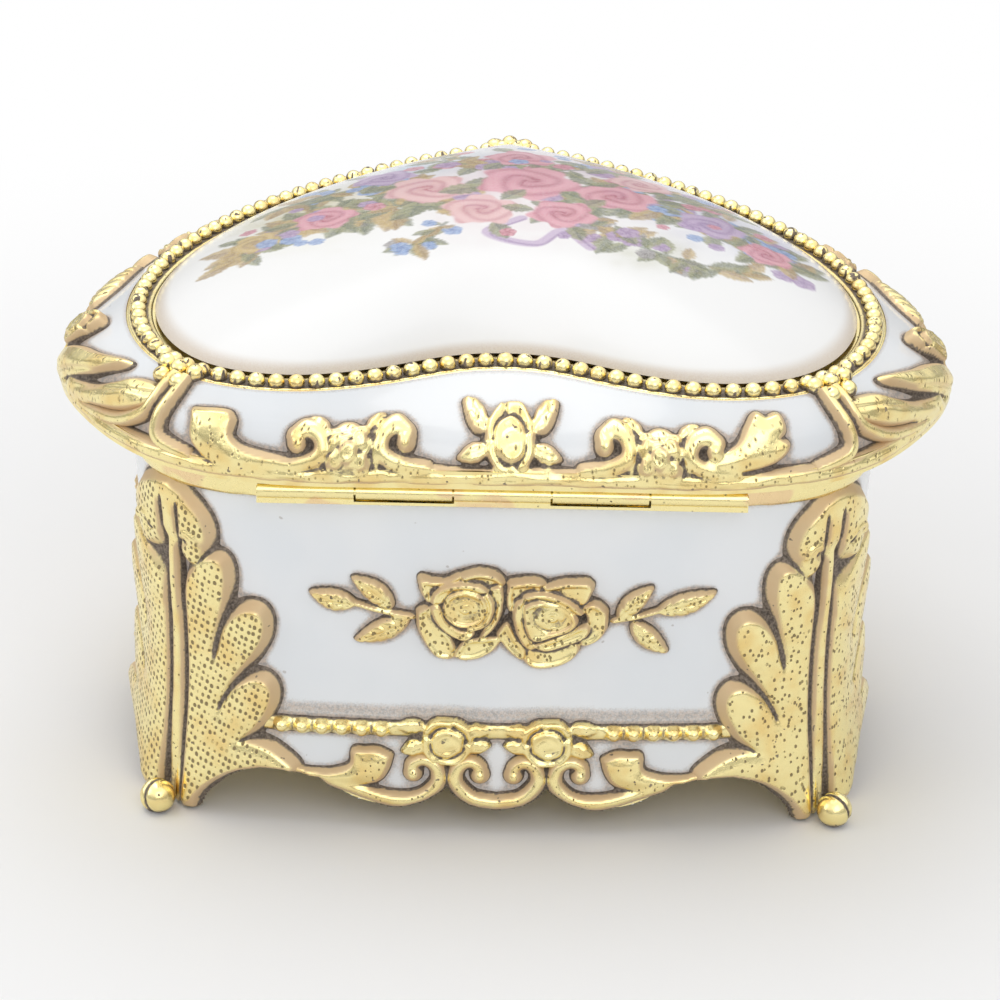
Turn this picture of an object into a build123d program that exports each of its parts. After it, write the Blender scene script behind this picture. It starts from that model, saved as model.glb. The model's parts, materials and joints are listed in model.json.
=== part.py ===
from build123d import *
from math import cos, hypot, pi, radians, sin
import os

# Heart-shaped footed music box. Millimetres, +Z up. The hinge side faces -Y and the point of the
# heart faces +Y. Depths below are measured from the back of the lid rim towards the point.

# Lid outline
lid_width = 130.0
lid_depth = 109.0
ring_width = 106.4
ring_back = 8.6
ring_tip = 103.0
tip_lean = 26.0

# Case outline
case_width = 106.8
case_back = 3.9
case_tip = 98.0
corner_inset = 6.4
corner_reach = 5.3
corner_x = case_width / 2 - corner_inset
corner_depth = case_back + corner_reach
tip_depth = case_tip + 1.0

# Heights
case_top = 53.2
band_bottom = 52.5
band_top = 55.4
rim_bottom = 55.7
rim_top = 58.4
deck_top = 67.0
plaque_top = 78.8
tray_height = 33.5
base_height = 9.6

# Wall and sheet thicknesses
case_wall = 2.0
base_thickness = 1.0
board_thickness = 1.2
lining_thickness = 1.2
rail_width = 1.3
band_reach = 0.7
fit_gap = 0.3

# Ornament relief
leaf_relief = 2.2
spray_relief = 1.4
rose_relief = 2.3
apron_relief = 1.6
rail_relief = 0.8
scroll_relief = 1.3
bud_relief = 2.2
rib_relief = 1.7
bead_radius = 1.1
bead_pitch = 2.9
foot_radius = 2.4
foot_centre = 2.2
foot_spread = 2.2
foot_x = corner_x + foot_spread
foot_back_spread = 3.0
foot_tip_spread = 2.6
foot_depth = corner_depth - foot_back_spread
foot_tip_depth = tip_depth + foot_tip_spread

# Lid hinge
hinge_depth = 1.7
hinge_height = 54.25
hinge_length = 68.0
pin_radius = 0.6
knuckle_radius = 1.15
knuckle_count = 5
knuckle_gap = 0.3
leaf_face = 1.1
lid_leaf_thickness = 1.2
lid_leaf_top = 57.0
recess_depth = 4.1
running_gap = 0.05

# Musical movement
movement_depth = 46.0
bed_length = 58.0
bed_width = 41.5
bed_shift_x = 16.0
bed_shift_y = -1.25
bed_thickness = 1.5
arbor_x = -14.0
arbor_radius = 1.6
collar_radius = 3.0
collar_height = 1.0
can_radius = 11.0
can_height = 8.0
can_wall = 0.8
spring_turns = 6
spring_pitch = 0.55
spring_strip = 0.3
spring_gap = 0.1
wheel_radius = 12.0
wheel_thickness = 1.2
face_teeth = 36
face_tooth_length = 2.4
face_tooth_width = 0.8
face_tooth_taper = 8
tooth_height = 1.1
pinion_teeth = 10
pinion_width = 2.8
cylinder_radius = 6.3
cylinder_length = 20.0
drive_teeth = 30
drive_module = 0.4
pinion_addendum = 0.45
pinion_dedendum = 0.62
drive_addendum = 0.36
drive_dedendum = 0.5
governor_pinion_teeth = 8
gear_width = 1.4
end_gap = 0.5
worm_wheel_teeth = 24
worm_wheel_radius = 4.0
worm_wheel_width = 1.0
worm_radius = 0.95
worm_throw = 0.35
worm_bite = 0.1
worm_turns = 4
journal_radius = 0.8
bracket_radius = 2.2
bracket_thickness = 1.2
comb_tines = 18
comb_pitch = 1.05
comb_back = 20.0
comb_seat_width = 6.0
comb_gap = 0.25
comb_screw_length = 4.0
tine_width = 0.8
comb_thickness = 0.9
music_pin_radius = 0.2
pin_height = 0.35
pins_per_track = 3
pin_step = 67
pin_drift = 23
fly_shaft_radius = 0.5
fan_radius = 4.5
fan_height = 3.0
fan_thickness = 0.6
fan_hub_radius = 1.2
fan_gap = 0.8
frame_reach = 4.2
frame_width = 2.4
frame_thickness = 1.2
rod_radius = 0.5
rod_x = 41.5
rod_bottom = 14.0
rod_foot_drop = 3.9
rod_foot_gap = 0.5
guide_radius = 2.5
guide_height = 11.4
guide_clearance = 0.5
key_bottom = 1.2
key_wing = 4.3
key_seat = 0.8
key_span = 15.0
key_thickness = 1.6
key_hub_radius = 2.4
key_hub_length = 3.8
screw_radius = 1.0
bed_screw_left = 8.0
bed_screw_right = 41.0
bed_screw_inner = 28.0
bed_screw_near = 19.0
bed_screw_far = 16.0

# Half outlines as shares of the half width and of the depth from the back to the tip
rim_shape = [(0, 0), (0.25, 0), (0.49, 0.003), (0.72, 0.05), (0.92, 0.19),
             (1.0, 0.33), (0.92, 0.505), (0.54, 0.815), (0, 1)]
ring_shape = [(0, 0.094), (0.244, 0.052), (0.526, 0), (0.81, 0.041), (0.959, 0.163),
              (1.0, 0.311), (0.93, 0.491), (0.526, 0.804), (0, 1)]
case_shape = [(0, 0), (0.4, 0.007), (0.71, 0.03), (0.86, 0.075), (0.95, 0.17),
              (1.0, 0.34), (0.93, 0.555), (0.7, 0.77), (0, 1)]

# The wall of the case: height, and how far the outline swells or draws in there
case_profile = [(-1.0, 2.4), (5.0, 1.2), (17.0, -0.3), (33.0, -0.2), (case_top, 0.8)]

# The skirt of the lid: height, and the share of the way from the rim to the bead ring
skirt_profile = [(rim_bottom, 0.0), (58.2, 0.02), (62.0, 0.18), (64.6, 0.52), (66.2, 0.84), (deck_top, 1.0)]
ring_band = 1.7
plaque_gap = 1.7
base_top = base_height + base_thickness
tray_top = tray_height + board_thickness
bed_top = base_top + bed_thickness


def depth(value):
    """Turn a depth from the back of the lid into the model's Y."""
    return value - lid_depth / 2


def half_outline(width, back, tip, shape):
    """Half of an outline, from the middle of its back to its tip."""
    return [(x * width / 2, depth(back + y * (tip - back))) for x, y in shape]


def grown(points, amount):
    """Move each point of a half outline outwards by an amount."""
    moved = []
    for index, (x, y) in enumerate(points):
        if index == 0:
            moved.append((x, y - amount))
        elif index == len(points) - 1:
            moved.append((x, y + amount / cos(radians(tip_lean))))
        else:
            along_x = points[index + 1][0] - points[index - 1][0]
            along_y = points[index + 1][1] - points[index - 1][1]
            length = hypot(along_x, along_y)
            moved.append((x + amount * along_y / length, y - amount * along_x / length))
    return moved


def between(first, second, share):
    """The half outline that lies a share of the way from the first to the second."""
    return [(a[0] + share * (b[0] - a[0]), a[1] + share * (b[1] - a[1])) for a, b in zip(first, second)]


def outline(points, height):
    """The closed face of a half outline and its mirror image, at a height."""
    lean = radians(tip_lean)
    with BuildSketch(Plane.XY.offset(height)) as drawn:
        with BuildLine():
            Spline(*points, tangents=((1, 0), (-cos(lean), sin(lean))))
            mirror(about=Plane.YZ)
        make_face()
    return drawn.sketch


# Places in the movement, worked out from the bedplate up
movement_y = depth(movement_depth)
arbor_place = (arbor_x, movement_y)
wheel_bottom = bed_top + can_height + fit_gap
wheel_top = wheel_bottom + wheel_thickness
face_pitch_radius = wheel_radius - face_tooth_length / 2
pinion_radius = face_pitch_radius * pinion_teeth / face_teeth
axis_height = wheel_top + tooth_height / 2 + pinion_radius
mesh_x = arbor_x + face_pitch_radius
left_bracket_x = arbor_x + wheel_radius + end_gap
cylinder_x = left_bracket_x + bracket_thickness + end_gap
drive_x = cylinder_x + cylinder_length + end_gap
drive_radius = drive_module * drive_teeth / 2
governor_pinion_radius = drive_module * governor_pinion_teeth / 2
right_bracket_x = drive_x + gear_width + end_gap
worm_wheel_x = right_bracket_x + bracket_thickness + end_gap
governor_y = movement_y + drive_radius + governor_pinion_radius
fly_x = worm_wheel_x + worm_wheel_width / 2
fly_y = governor_y + worm_wheel_radius + worm_radius + worm_throw - worm_bite
worm_lead = 2 * pi * worm_wheel_radius / worm_wheel_teeth
worm_bottom = axis_height - worm_lead * worm_turns / 2
worm_top = worm_bottom + worm_lead * worm_turns
fly_bottom = bed_top - bed_thickness / 2
fly_top = tray_height - fan_gap
frame_top = worm_top + fit_gap
comb_seat_top = axis_height - comb_thickness / 2
comb_seat_y = movement_y - comb_back + comb_seat_width / 2
comb_front = movement_y - cylinder_radius - pin_height - comb_gap
screw_hole = screw_radius + running_gap
bed_screw_places = [
    (arbor_x - bed_screw_left, movement_y - bed_screw_near),
    (arbor_x + bed_screw_right, movement_y - bed_screw_near),
    (arbor_x - bed_screw_left, movement_y + bed_screw_far),
    (arbor_x + bed_screw_inner, movement_y + bed_screw_far),
]
comb_screw_places = [
    (cylinder_x + cylinder_length / 5, comb_seat_y),
    (cylinder_x + cylinder_length * 4 / 5, comb_seat_y),
]
rod_foot_height = tray_height - rod_foot_drop
tine_x = [cylinder_x + comb_pitch * (track + 1) for track in range(comb_tines)]

rim_half = half_outline(lid_width, 0, lid_depth, rim_shape)
ring_half = half_outline(ring_width, ring_back, ring_tip, ring_shape)
case_half = half_outline(case_width, case_back, case_tip, case_shape)
plaque_half = grown(ring_half, -ring_band - plaque_gap)


def case_block(growth):
    """The solid form of the case, grown or drawn in all round."""
    with BuildPart() as block:
        loft(sections=[outline(grown(case_half, swell + growth), height) for height, swell in case_profile])
    return block.part


def skirt_points(share, growth):
    shell_half = grown(rim_half, -rail_width)
    return grown(between(shell_half, grown(ring_half, ring_band), share), growth)


def skirt_block(growth, drop):
    """The solid form of the lid skirt, grown all round and lowered."""
    with BuildPart() as block:
        loft(sections=[
            outline(skirt_points(share, growth), height - drop) for height, share in skirt_profile
        ])
    return block.part


def face_plane(start, end):
    """A vertical plane through two plan points, with its normal pointing out of the box."""
    along = Vector(end[0] - start[0], end[1] - start[1]).normalized()
    middle = ((start[0] + end[0]) / 2, (start[1] + end[1]) / 2, 0)
    return Plane(origin=middle, x_dir=along, z_dir=along.cross(Vector(0, 0, 1)))


# The three panels, each seen from outside with its left corner first
left_corner = (-corner_x, depth(corner_depth))
right_corner = (corner_x, depth(corner_depth))
front_corner = (0, depth(tip_depth))
panels = {
    "back": (left_corner, right_corner),
    "right": (right_corner, front_corner),
    "left": (front_corner, left_corner),
}
panel_reach = 36.0


def panel_half_length(name):
    (x1, y1), (x2, y2) = panels[name]
    return hypot(x2 - x1, y2 - y1) / 2


def relief(name, drawing, block, ground):
    """A drawing on one panel, raised from the ground form to the outside of a block."""
    plane = face_plane(*panels[name])
    with BuildPart() as raised:
        extrude(to_extrude=plane * drawing, amount=panel_reach)
        add(block, mode=Mode.INTERSECT)
        add(ground, mode=Mode.SUBTRACT)
    return raised.part


# Corner legs
leaf_lobes = [(3.2, 47.0, 2.7, 6.2, 6), (6.2, 37.5, 2.9, 7.4, 22), (9.4, 28.0, 3.0, 7.0, 28),
              (10.6, 18.0, 2.9, 6.6, 38), (11.4, 9.6, 1.9, 5.4, 72)]
leaf_stem = [(-6, 52.4), (1.6, 52.4), (3.4, 44), (4.2, 34), (6.6, 24), (8.4, 14),
             (9.0, 8.6), (5.0, 7.2), (2.6, 3.0), (-6, 1.2)]


def leaf_drawing(side, half_length):
    """The acanthus leaf beside one corner of a panel; side is -1 at its left end and 1 at its right."""
    with BuildSketch() as drawn:
        with BuildLine():
            Polyline(*[(side * (half_length - x), z) for x, z in leaf_stem], close=True)
        make_face()
        for x, z, half_wide, half_tall, turn in leaf_lobes:
            with Locations(Location((side * (half_length - x), z), (0, 0, side * turn))):
                Ellipse(half_wide, half_tall)
    return drawn.sketch


case_form = case_block(0)
leaf_form = case_block(leaf_relief)


def corner_leg(first_panel, second_panel, corner, foot):
    """One leg: the last leaf of one panel, the first leaf of the next, a spine and a ball foot."""
    spine = [(foot_centre, foot[0], foot[1], 1.9)]
    outward = Vector(corner[0], corner[1] - depth(movement_depth)).normalized()
    for height, swell in case_profile[1:]:
        middle = Vector(corner[0], corner[1]) + outward * (swell + leaf_relief - 1.6)
        spine.append((height, middle.X, middle.Y, 1.2))
    with BuildPart() as leg:
        add(relief(first_panel, leaf_drawing(1, panel_half_length(first_panel)), leaf_form, case_form))
        add(relief(second_panel, leaf_drawing(-1, panel_half_length(second_panel)), leaf_form, case_form))
        for height, x, y, radius in spine:
            with BuildSketch(Plane((x, y, height))):
                Circle(radius)
        loft(ruled=True)
        with Locations((foot[0], foot[1], foot_centre)):
            Sphere(foot_radius)
        add(case_form, mode=Mode.SUBTRACT)
        split(bisect_by=Plane.XY, keep=Keep.TOP)
    return leg.part


with BuildPart() as leg_right:
    add(corner_leg("back", "right", right_corner, (foot_x, depth(foot_depth))))

with BuildPart() as leg_left:
    mirror(leg_right.part, about=Plane.YZ)

with BuildPart() as leg_front:
    add(corner_leg("right", "left", front_corner, (0, depth(foot_tip_depth))))


# Scrolled lower edge of a panel
apron_cusp = 7.3
apron_cusp_height = 7.0
apron_toe_height = 8.7
apron_arm_height = 7.6
apron_arm_reach = 9.0
apron_low = 3.7
apron_arm = 16.0
apron_foot = 16.4
apron_strip = 1.8
apron_curls = [4.1, 10.7]
curl_height = 8.3
curl_radius = 2.3
curl_bore = 0.9
bud_leaf = 19.0
bud_leaf_height = 7.6


def apron_edge(half_length, lift):
    """The scalloped lower edge from leg to leg, lifted by a width."""
    toe = half_length - apron_foot
    arm = apron_arm + apron_arm_reach
    toe_height = apron_toe_height + lift
    arm_height = apron_arm_height + lift
    low = apron_low + lift
    cusp_height = apron_cusp_height + lift
    Polyline((-toe, toe_height), (-arm, arm_height))
    ThreePointArc((-arm, arm_height), (-apron_arm, low), (-apron_cusp, cusp_height))
    ThreePointArc((-apron_cusp, cusp_height), (0, low), (apron_cusp, cusp_height))
    ThreePointArc((apron_cusp, cusp_height), (apron_arm, low), (arm, arm_height))
    Polyline((arm, arm_height), (toe, toe_height))


def apron_drawing(half_length):
    toe = half_length - apron_foot
    with BuildSketch() as drawn:
        with BuildLine():
            apron_edge(half_length, 0)
            Line((toe, apron_toe_height), (toe, apron_toe_height + apron_strip))
            apron_edge(half_length, apron_strip)
            Line((-toe, apron_toe_height), (-toe, apron_toe_height + apron_strip))
        make_face()
        for side in (-1, 1):
            for x in apron_curls:
                with Locations((side * x, curl_height)):
                    Circle(curl_radius)
                    Circle(curl_bore, mode=Mode.SUBTRACT)
            with Locations(Location((side * bud_leaf, bud_leaf_height), (0, 0, side * -14))):
                Ellipse(4.4, 1.9)
    return drawn.sketch


def under_apron(half_length):
    """What is open below one panel, between its two legs."""
    toe = half_length - apron_foot
    foot_edge = half_length - 2
    with BuildSketch() as drawn:
        with BuildLine():
            apron_edge(half_length, 0)
            for side in (-1, 1):
                start = (side * toe, apron_toe_height)
                ThreePointArc(start, (side * (half_length - 7), 6.0), (side * foot_edge, -2))
            Line((-foot_edge, -2), (foot_edge, -2))
        make_face()
    return drawn.sketch


def wall_points(name, places, height, form, stand):
    """Points off the wall of a form at a height, at distances from the middle of a panel."""
    plane = face_plane(*panels[name])
    edge = section(obj=form, section_by=Plane.XY.offset(height)).face().outer_wire()
    samples = [edge.position_at(step / bead_samples) for step in range(bead_samples)]
    near = [point for point in samples if plane.to_local_coords(point).Z > -3]
    chosen = [min(near, key=lambda point: abs(plane.to_local_coords(point).X - place)) for place in places]
    return [point + plane.z_dir * stand for point in chosen]


bead_samples = 1200
bead_stand = 0.35
apron_form = case_block(apron_relief)
rail_form = case_block(rail_relief)
spray_form = case_block(spray_relief)
rose_form = case_block(rose_relief)

rail_height = 15.8
rail_start = 17.0
rail_end = 32.4
rail_half_width = 0.8
case_bead_radius = 1.05
case_bead_pitch = 2.8
small_rose_x = 7.0
small_rose_height = 13.4
small_rose_radius = 3.4
rose_x = 6.1
spray_height = 35.8
rose_drop = 1.2
rose_petals = 5
petal_ring = 4.2
petal_radius = 3.7
heart_radius = 4.1
stem_length = 44.0
stem_width = 1.4
sprig_leaves = [(24.3, 0.6, 4.2, 1.7, 6), (18.6, 2.2, 3.6, 1.6, 32), (18.6, -2.7, 3.8, 1.6, -32)]
rail_leaves = [(12.4, 1.6, 2.3, 0.9, 0), (12.2, -0.9, 2.3, 1.0, -18),
               (1.9, 1.9, 2.0, 0.9, 0), (1.9, -0.6, 2.0, 1.0, 0)]


def rail_drawing():
    """The strip under the beads and the leaves beside the two small roses."""
    with BuildSketch() as drawn:
        with Locations((0, rail_height)):
            Rectangle(2 * rail_end, 2 * rail_half_width)
        for side in (-1, 1):
            for x, z, half_wide, half_tall, turn in rail_leaves:
                with Locations(Location((side * x, small_rose_height + z), (0, 0, side * turn))):
                    Ellipse(half_wide, half_tall)
            with Locations((side * small_rose_x, small_rose_height)):
                Circle(small_rose_radius)
    return drawn.sketch


def small_roses():
    with BuildSketch() as drawn:
        with Locations((-small_rose_x, small_rose_height), (small_rose_x, small_rose_height)):
            Circle(small_rose_radius - 1.2)
    return drawn.sketch


def bead_rail(name):
    """The rail of beads over one apron."""
    count = int((rail_end - rail_start) / case_bead_pitch) + 1
    places = [rail_start + case_bead_radius + index * case_bead_pitch for index in range(count)]
    places = [-place for place in places] + places
    with BuildPart() as rail:
        add(relief(name, rail_drawing(), rail_form, case_form))
        add(relief(name, small_roses(), apron_form, case_form))
        with Locations(*wall_points(name, places, rail_height, rail_form, bead_stand)):
            Sphere(case_bead_radius)
    return rail.part


def sprig_drawing():
    """Two roses seen as rings of petals, with a leafy sprig at each side."""
    with BuildSketch() as drawn:
        with Locations((0, spray_height)):
            Rectangle(stem_length, stem_width)
        for side in (-1, 1):
            for x, z, half_wide, half_tall, turn in sprig_leaves:
                with Locations(Location((side * x, spray_height + z), (0, 0, side * turn))):
                    Ellipse(half_wide, half_tall)
            with Locations((side * rose_x, spray_height - rose_drop)):
                with PolarLocations(petal_ring, rose_petals, start_angle=90):
                    Circle(petal_radius)
                Circle(heart_radius)
    return drawn.sketch


def rose_hearts():
    with BuildSketch() as drawn:
        with Locations((-rose_x, spray_height - rose_drop), (rose_x, spray_height - rose_drop)):
            Circle(heart_radius)
    return drawn.sketch


def rose_spray(name):
    with BuildPart() as spray:
        add(relief(name, sprig_drawing(), spray_form, case_form))
        add(relief(name, rose_hearts(), rose_form, case_form))
    return spray.part


with BuildPart() as apron_back:
    add(relief("back", apron_drawing(panel_half_length("back")), apron_form, case_form))

with BuildPart() as apron_right:
    add(relief("right", apron_drawing(panel_half_length("right")), apron_form, case_form))

with BuildPart() as apron_left:
    mirror(apron_right.part, about=Plane.YZ)

with BuildPart() as bead_rail_back:
    add(bead_rail("back"))

with BuildPart() as bead_rail_right:
    add(bead_rail("right"))

with BuildPart() as bead_rail_left:
    mirror(bead_rail_right.part, about=Plane.YZ)

with BuildPart() as spray_back:
    add(rose_spray("back"))

with BuildPart() as spray_right:
    add(rose_spray("right"))

with BuildPart() as spray_left:
    mirror(spray_right.part, about=Plane.YZ)

# Cast wall of the case with the posts that carry the tray floor and the base plate
post_radius = 4.4
post_inset = 5.6
tap_depth = 8.0
post_line = grown(case_half, -post_inset)
post_x, post_y = post_line[3]
posts = [(-post_x, post_y), (post_x, post_y), post_line[-1]]

with BuildPart() as posts_stock:
    with BuildSketch(Plane.XY.offset(base_top)):
        with Locations(*posts):
            Circle(post_radius)
    extrude(amount=tray_height - base_top)
    add(case_form, mode=Mode.INTERSECT)

with BuildPart() as case_shell:
    add(case_form)
    add(case_block(-case_wall), mode=Mode.SUBTRACT)
    for name, corners in panels.items():
        opening = face_plane(*corners) * under_apron(panel_half_length(name))
        extrude(to_extrude=opening, amount=panel_reach, mode=Mode.SUBTRACT)
        extrude(to_extrude=opening, amount=-6, mode=Mode.SUBTRACT)
    split(bisect_by=Plane.XY.offset(1.0), keep=Keep.TOP)
    add(posts_stock.part)
    with BuildSketch(Plane.XY.offset(base_top)):
        with Locations(*posts):
            Circle(screw_radius + running_gap)
    extrude(amount=tap_depth, mode=Mode.SUBTRACT)

# Plain polished band round the mouth; its back is cut away behind the hinge
mouth_half = grown(case_half, case_profile[-1][1])
hinge_y = depth(hinge_depth)
hinge_clearance = knuckle_radius + fit_gap
recess_length = hinge_length + 2 * fit_gap


def ring_between(outer, inner, low, high):
    """A straight-sided ring between two half outlines."""
    with BuildPart() as ring:
        extrude(to_extrude=outline(outer, low), amount=high - low)
        extrude(to_extrude=outline(inner, low), amount=high - low, mode=Mode.SUBTRACT)
    return ring.part


def hinge_rod(radius, start, end):
    """A round bar on the hinge line."""
    with BuildPart() as rod:
        with BuildSketch(Plane(origin=(start, hinge_y, hinge_height), z_dir=(1, 0, 0))):
            Circle(radius)
        extrude(amount=end - start)
    return rod.part


with BuildPart() as rim_band:
    add(ring_between(grown(mouth_half, band_reach), grown(mouth_half, -case_wall), case_top, band_top))
    with BuildSketch(Plane.XY.offset(case_top)):
        with Locations((0, hinge_y)):
            Rectangle(recess_length, 2 * (recess_depth - hinge_depth))
    extrude(amount=band_top - case_top, mode=Mode.SUBTRACT)

# Base plate, its screws and the tray floor
base_swell = 0.8
base_half = grown(case_half, base_swell - case_wall - fit_gap)
head_radius = 2.0
head_height = 1.0
key_hole = 3.4
sound_hole = 1.8
sound_holes = 8
sound_circle = 7.5
sound_depth = 77.0

with BuildPart() as base_plate:
    extrude(to_extrude=outline(base_half, base_height), amount=base_thickness)
    add(case_block(-case_wall - fit_gap), mode=Mode.INTERSECT)
    with BuildSketch(Plane.XY.offset(base_height)):
        with Locations((arbor_x, movement_y)):
            Circle(key_hole)
        with Locations((0, depth(sound_depth))):
            with PolarLocations(sound_circle, sound_holes):
                Circle(sound_hole)
        with Locations(*posts, *bed_screw_places):
            Circle(screw_hole)
    extrude(amount=base_thickness, mode=Mode.SUBTRACT)


def pan_screws(places, under_head, length, up):
    """Pan-head screws at plan points, with the shank pointing up or down from under the head."""
    turn = 1 if up else -1
    with BuildPart() as screws:
        with BuildSketch(Plane.XY.offset(under_head)):
            with Locations(*places):
                Circle(screw_radius)
        extrude(amount=turn * length)
        with BuildSketch(Plane.XY.offset(under_head)):
            with Locations(*places):
                Circle(head_radius)
        extrude(amount=-turn * head_height)
        with BuildSketch(Plane.XY.offset(under_head - turn * head_height)):
            with Locations(*places):
                Rectangle(2 * head_radius, 0.5)
        extrude(amount=turn * head_height / 2, mode=Mode.SUBTRACT)
    return screws.part


with BuildPart() as base_screws:
    add(pan_screws(posts, base_height, base_thickness + tap_depth - 1, True))

rod_hole = 0.9
inside_form = case_block(-case_wall - fit_gap)
lined_form = case_block(-case_wall - fit_gap - lining_thickness)

with BuildPart() as rod_channel:
    with BuildSketch(Plane.XY.offset(tray_height)):
        with Locations((rod_x, fly_y)):
            Circle(rod_hole)
    extrude(amount=case_top - tray_height)

with BuildPart() as tray_floor:
    extrude(to_extrude=outline(case_half, tray_height), amount=board_thickness)
    add(inside_form, mode=Mode.INTERSECT)
    add(rod_channel.part, mode=Mode.SUBTRACT)

with BuildPart() as wall_lining:
    extrude(to_extrude=outline(case_half, tray_top), amount=case_top - tray_top)
    add(inside_form, mode=Mode.INTERSECT)
    add(lined_form, mode=Mode.SUBTRACT)

# Crowned velvet pad on the tray floor
cushion_rise = 3.6
cushion_profile = [(0.0, 1.6), (0.9, 0.4), (2.2, 0.6), (3.1, 3.2), (cushion_rise, 9.0)]
lined_half = grown(case_half, -case_wall - 2 * fit_gap - lining_thickness)

with BuildPart() as floor_cushion:
    loft(sections=[outline(grown(lined_half, -inset), tray_top + rise) for rise, inset in cushion_profile])
    add(rod_channel.part, mode=Mode.SUBTRACT)

# Lid shell: a hollow skirt under a deck with a hole
skirt_form = skirt_block(0, 0)
hollow_drop = 2.3
hollow_growth = -1.2
deck_hole_inset = 12.0

with BuildPart() as lid_shell:
    add(skirt_form)
    add(skirt_block(hollow_growth, hollow_drop), mode=Mode.SUBTRACT)
    deck_hole = outline(grown(ring_half, -deck_hole_inset), rim_bottom)
    extrude(to_extrude=deck_hole, amount=deck_top, mode=Mode.SUBTRACT)

# Bead ring round the plaque
ring_wire_length = outline(ring_half, deck_top).wire().length
ring_beads = int(ring_wire_length / bead_pitch)
band_height = 0.9
bead_height = deck_top + band_height + 0.4

with BuildPart() as bead_ring:
    band_outer = grown(ring_half, ring_band)
    band_inner = grown(ring_half, -ring_band)
    add(ring_between(band_outer, band_inner, deck_top, deck_top + band_height))
    ring_edge = outline(ring_half, bead_height).wire()
    with Locations(*[ring_edge.position_at(index / ring_beads) for index in range(ring_beads)]):
        Sphere(bead_radius)

# Domed porcelain plaque, hollow underneath
plaque_edge = 1.2
plaque_wall = 2.6
dome_steps = [1.0, 0.94, 0.83, 0.66, 0.44, 0.2]
dome_centre = [(0, depth(movement_depth + 8))] * len(plaque_half)


def dome_height(share, rise):
    return rise * (1 - share ** 2.6) ** 0.8


def dome(points, low, rise):
    """A closed dome over a half outline."""
    with BuildPart() as form:
        loft(sections=[
            outline(between(dome_centre, points, share), low + dome_height(share, rise))
            for share in dome_steps
        ])
    return form.part


with BuildPart() as plaque:
    extrude(to_extrude=outline(plaque_half, deck_top), amount=plaque_edge)
    add(dome(plaque_half, deck_top + plaque_edge, plaque_top - deck_top - plaque_edge))
    inner_rise = plaque_top - deck_top - plaque_wall
    add(dome(grown(plaque_half, -plaque_wall), deck_top, inner_rise), mode=Mode.SUBTRACT)

# Padded lining and mirror inside the lid
pad_bottom = 61.2
pad_inset = 3.4
mirror_thickness = 1.3
mirror_inset = 9.0
deck_bottom = deck_top - hollow_drop
pad_half = grown(ring_half, -pad_inset)

with BuildPart() as lid_pad:
    pad_mid = (pad_bottom + deck_bottom) / 2
    pad_sections = [(deck_bottom, 1.2), (pad_mid + 0.8, 0), (pad_mid - 0.8, 0), (pad_bottom, 2.0)]
    loft(sections=[outline(grown(pad_half, -inset), height) for height, inset in pad_sections])

with BuildPart() as lid_mirror:
    extrude(to_extrude=outline(grown(ring_half, -mirror_inset), pad_bottom), amount=-mirror_thickness)

# Rim rail of the lid, and the scrolls, buds and leaves that stand on it
scroll_form = skirt_block(scroll_relief, 0)
bud_form = skirt_block(bud_relief, 0)
buds = {"back": [-21.4, 0.6, 21.4], "right": [-24.0, 0.0, 24.0]}
bud_height = 61.0
bud_radius = 2.9
bud_leaves = [(3.6, 2.5, 2.4, 1.0, 40), (4.4, -0.8, 2.4, 1.0, -12)]
plumes = {
    "back": [(40.5, 61.2, 4.6, 2.5, -28)],
    "right": [(10.6, 61.9, 4.6, 2.2, 24), (38.0, 61.0, 4.4, 2.2, -24)],
}
curls = {"back": [(28.6, 61.4), (13.2, 61.4)], "right": [(31.4, 61.4)]}
curl_size = 2.2
curl_hole = 0.9
scroll_length = {"back": 45.5, "right": 45.5}
scroll_strip = 1.2


def scroll_drawing(name):
    with BuildSketch() as drawn:
        with Locations((0, rim_top + scroll_strip / 2)):
            Rectangle(2 * scroll_length[name], scroll_strip)
        for place in buds[name]:
            with Locations((place, bud_height)):
                Circle(bud_radius)
            for side in (-1, 1):
                for x, z, half_wide, half_tall, turn in bud_leaves:
                    with Locations(Location((place + side * x, bud_height + z), (0, 0, side * turn))):
                        Ellipse(half_wide, half_tall)
        for side in (-1, 1):
            for x, z, half_wide, half_tall, turn in plumes[name]:
                with Locations(Location((side * x, z), (0, 0, side * turn))):
                    Ellipse(half_wide, half_tall)
            for x, z in curls[name]:
                with Locations((side * x, z)):
                    Circle(curl_size)
                    Circle(curl_hole, mode=Mode.SUBTRACT)
        with Locations((0, rim_top - scroll_length[name])):
            Rectangle(2 * scroll_length[name], 2 * scroll_length[name], mode=Mode.SUBTRACT)
    return drawn.sketch


def bud_drawing(name):
    with BuildSketch() as drawn:
        for place in buds[name]:
            with Locations((place, bud_height)):
                Circle(bud_radius - 0.8)
    return drawn.sketch


def lid_scrolls(name):
    with BuildPart() as scrolls:
        add(relief(name, scroll_drawing(name), scroll_form, skirt_form))
        add(relief(name, bud_drawing(name), bud_form, skirt_form))
    return scrolls.part


with BuildPart() as lid_rim:
    extrude(to_extrude=outline(rim_half, rim_bottom), amount=rim_top - rim_bottom)
    add(skirt_form, mode=Mode.SUBTRACT)

with BuildPart() as lid_scrolls_back:
    add(lid_scrolls("back"))

with BuildPart() as lid_scrolls_right:
    add(lid_scrolls("right"))

with BuildPart() as lid_scrolls_left:
    mirror(lid_scrolls_right.part, about=Plane.YZ)

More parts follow.
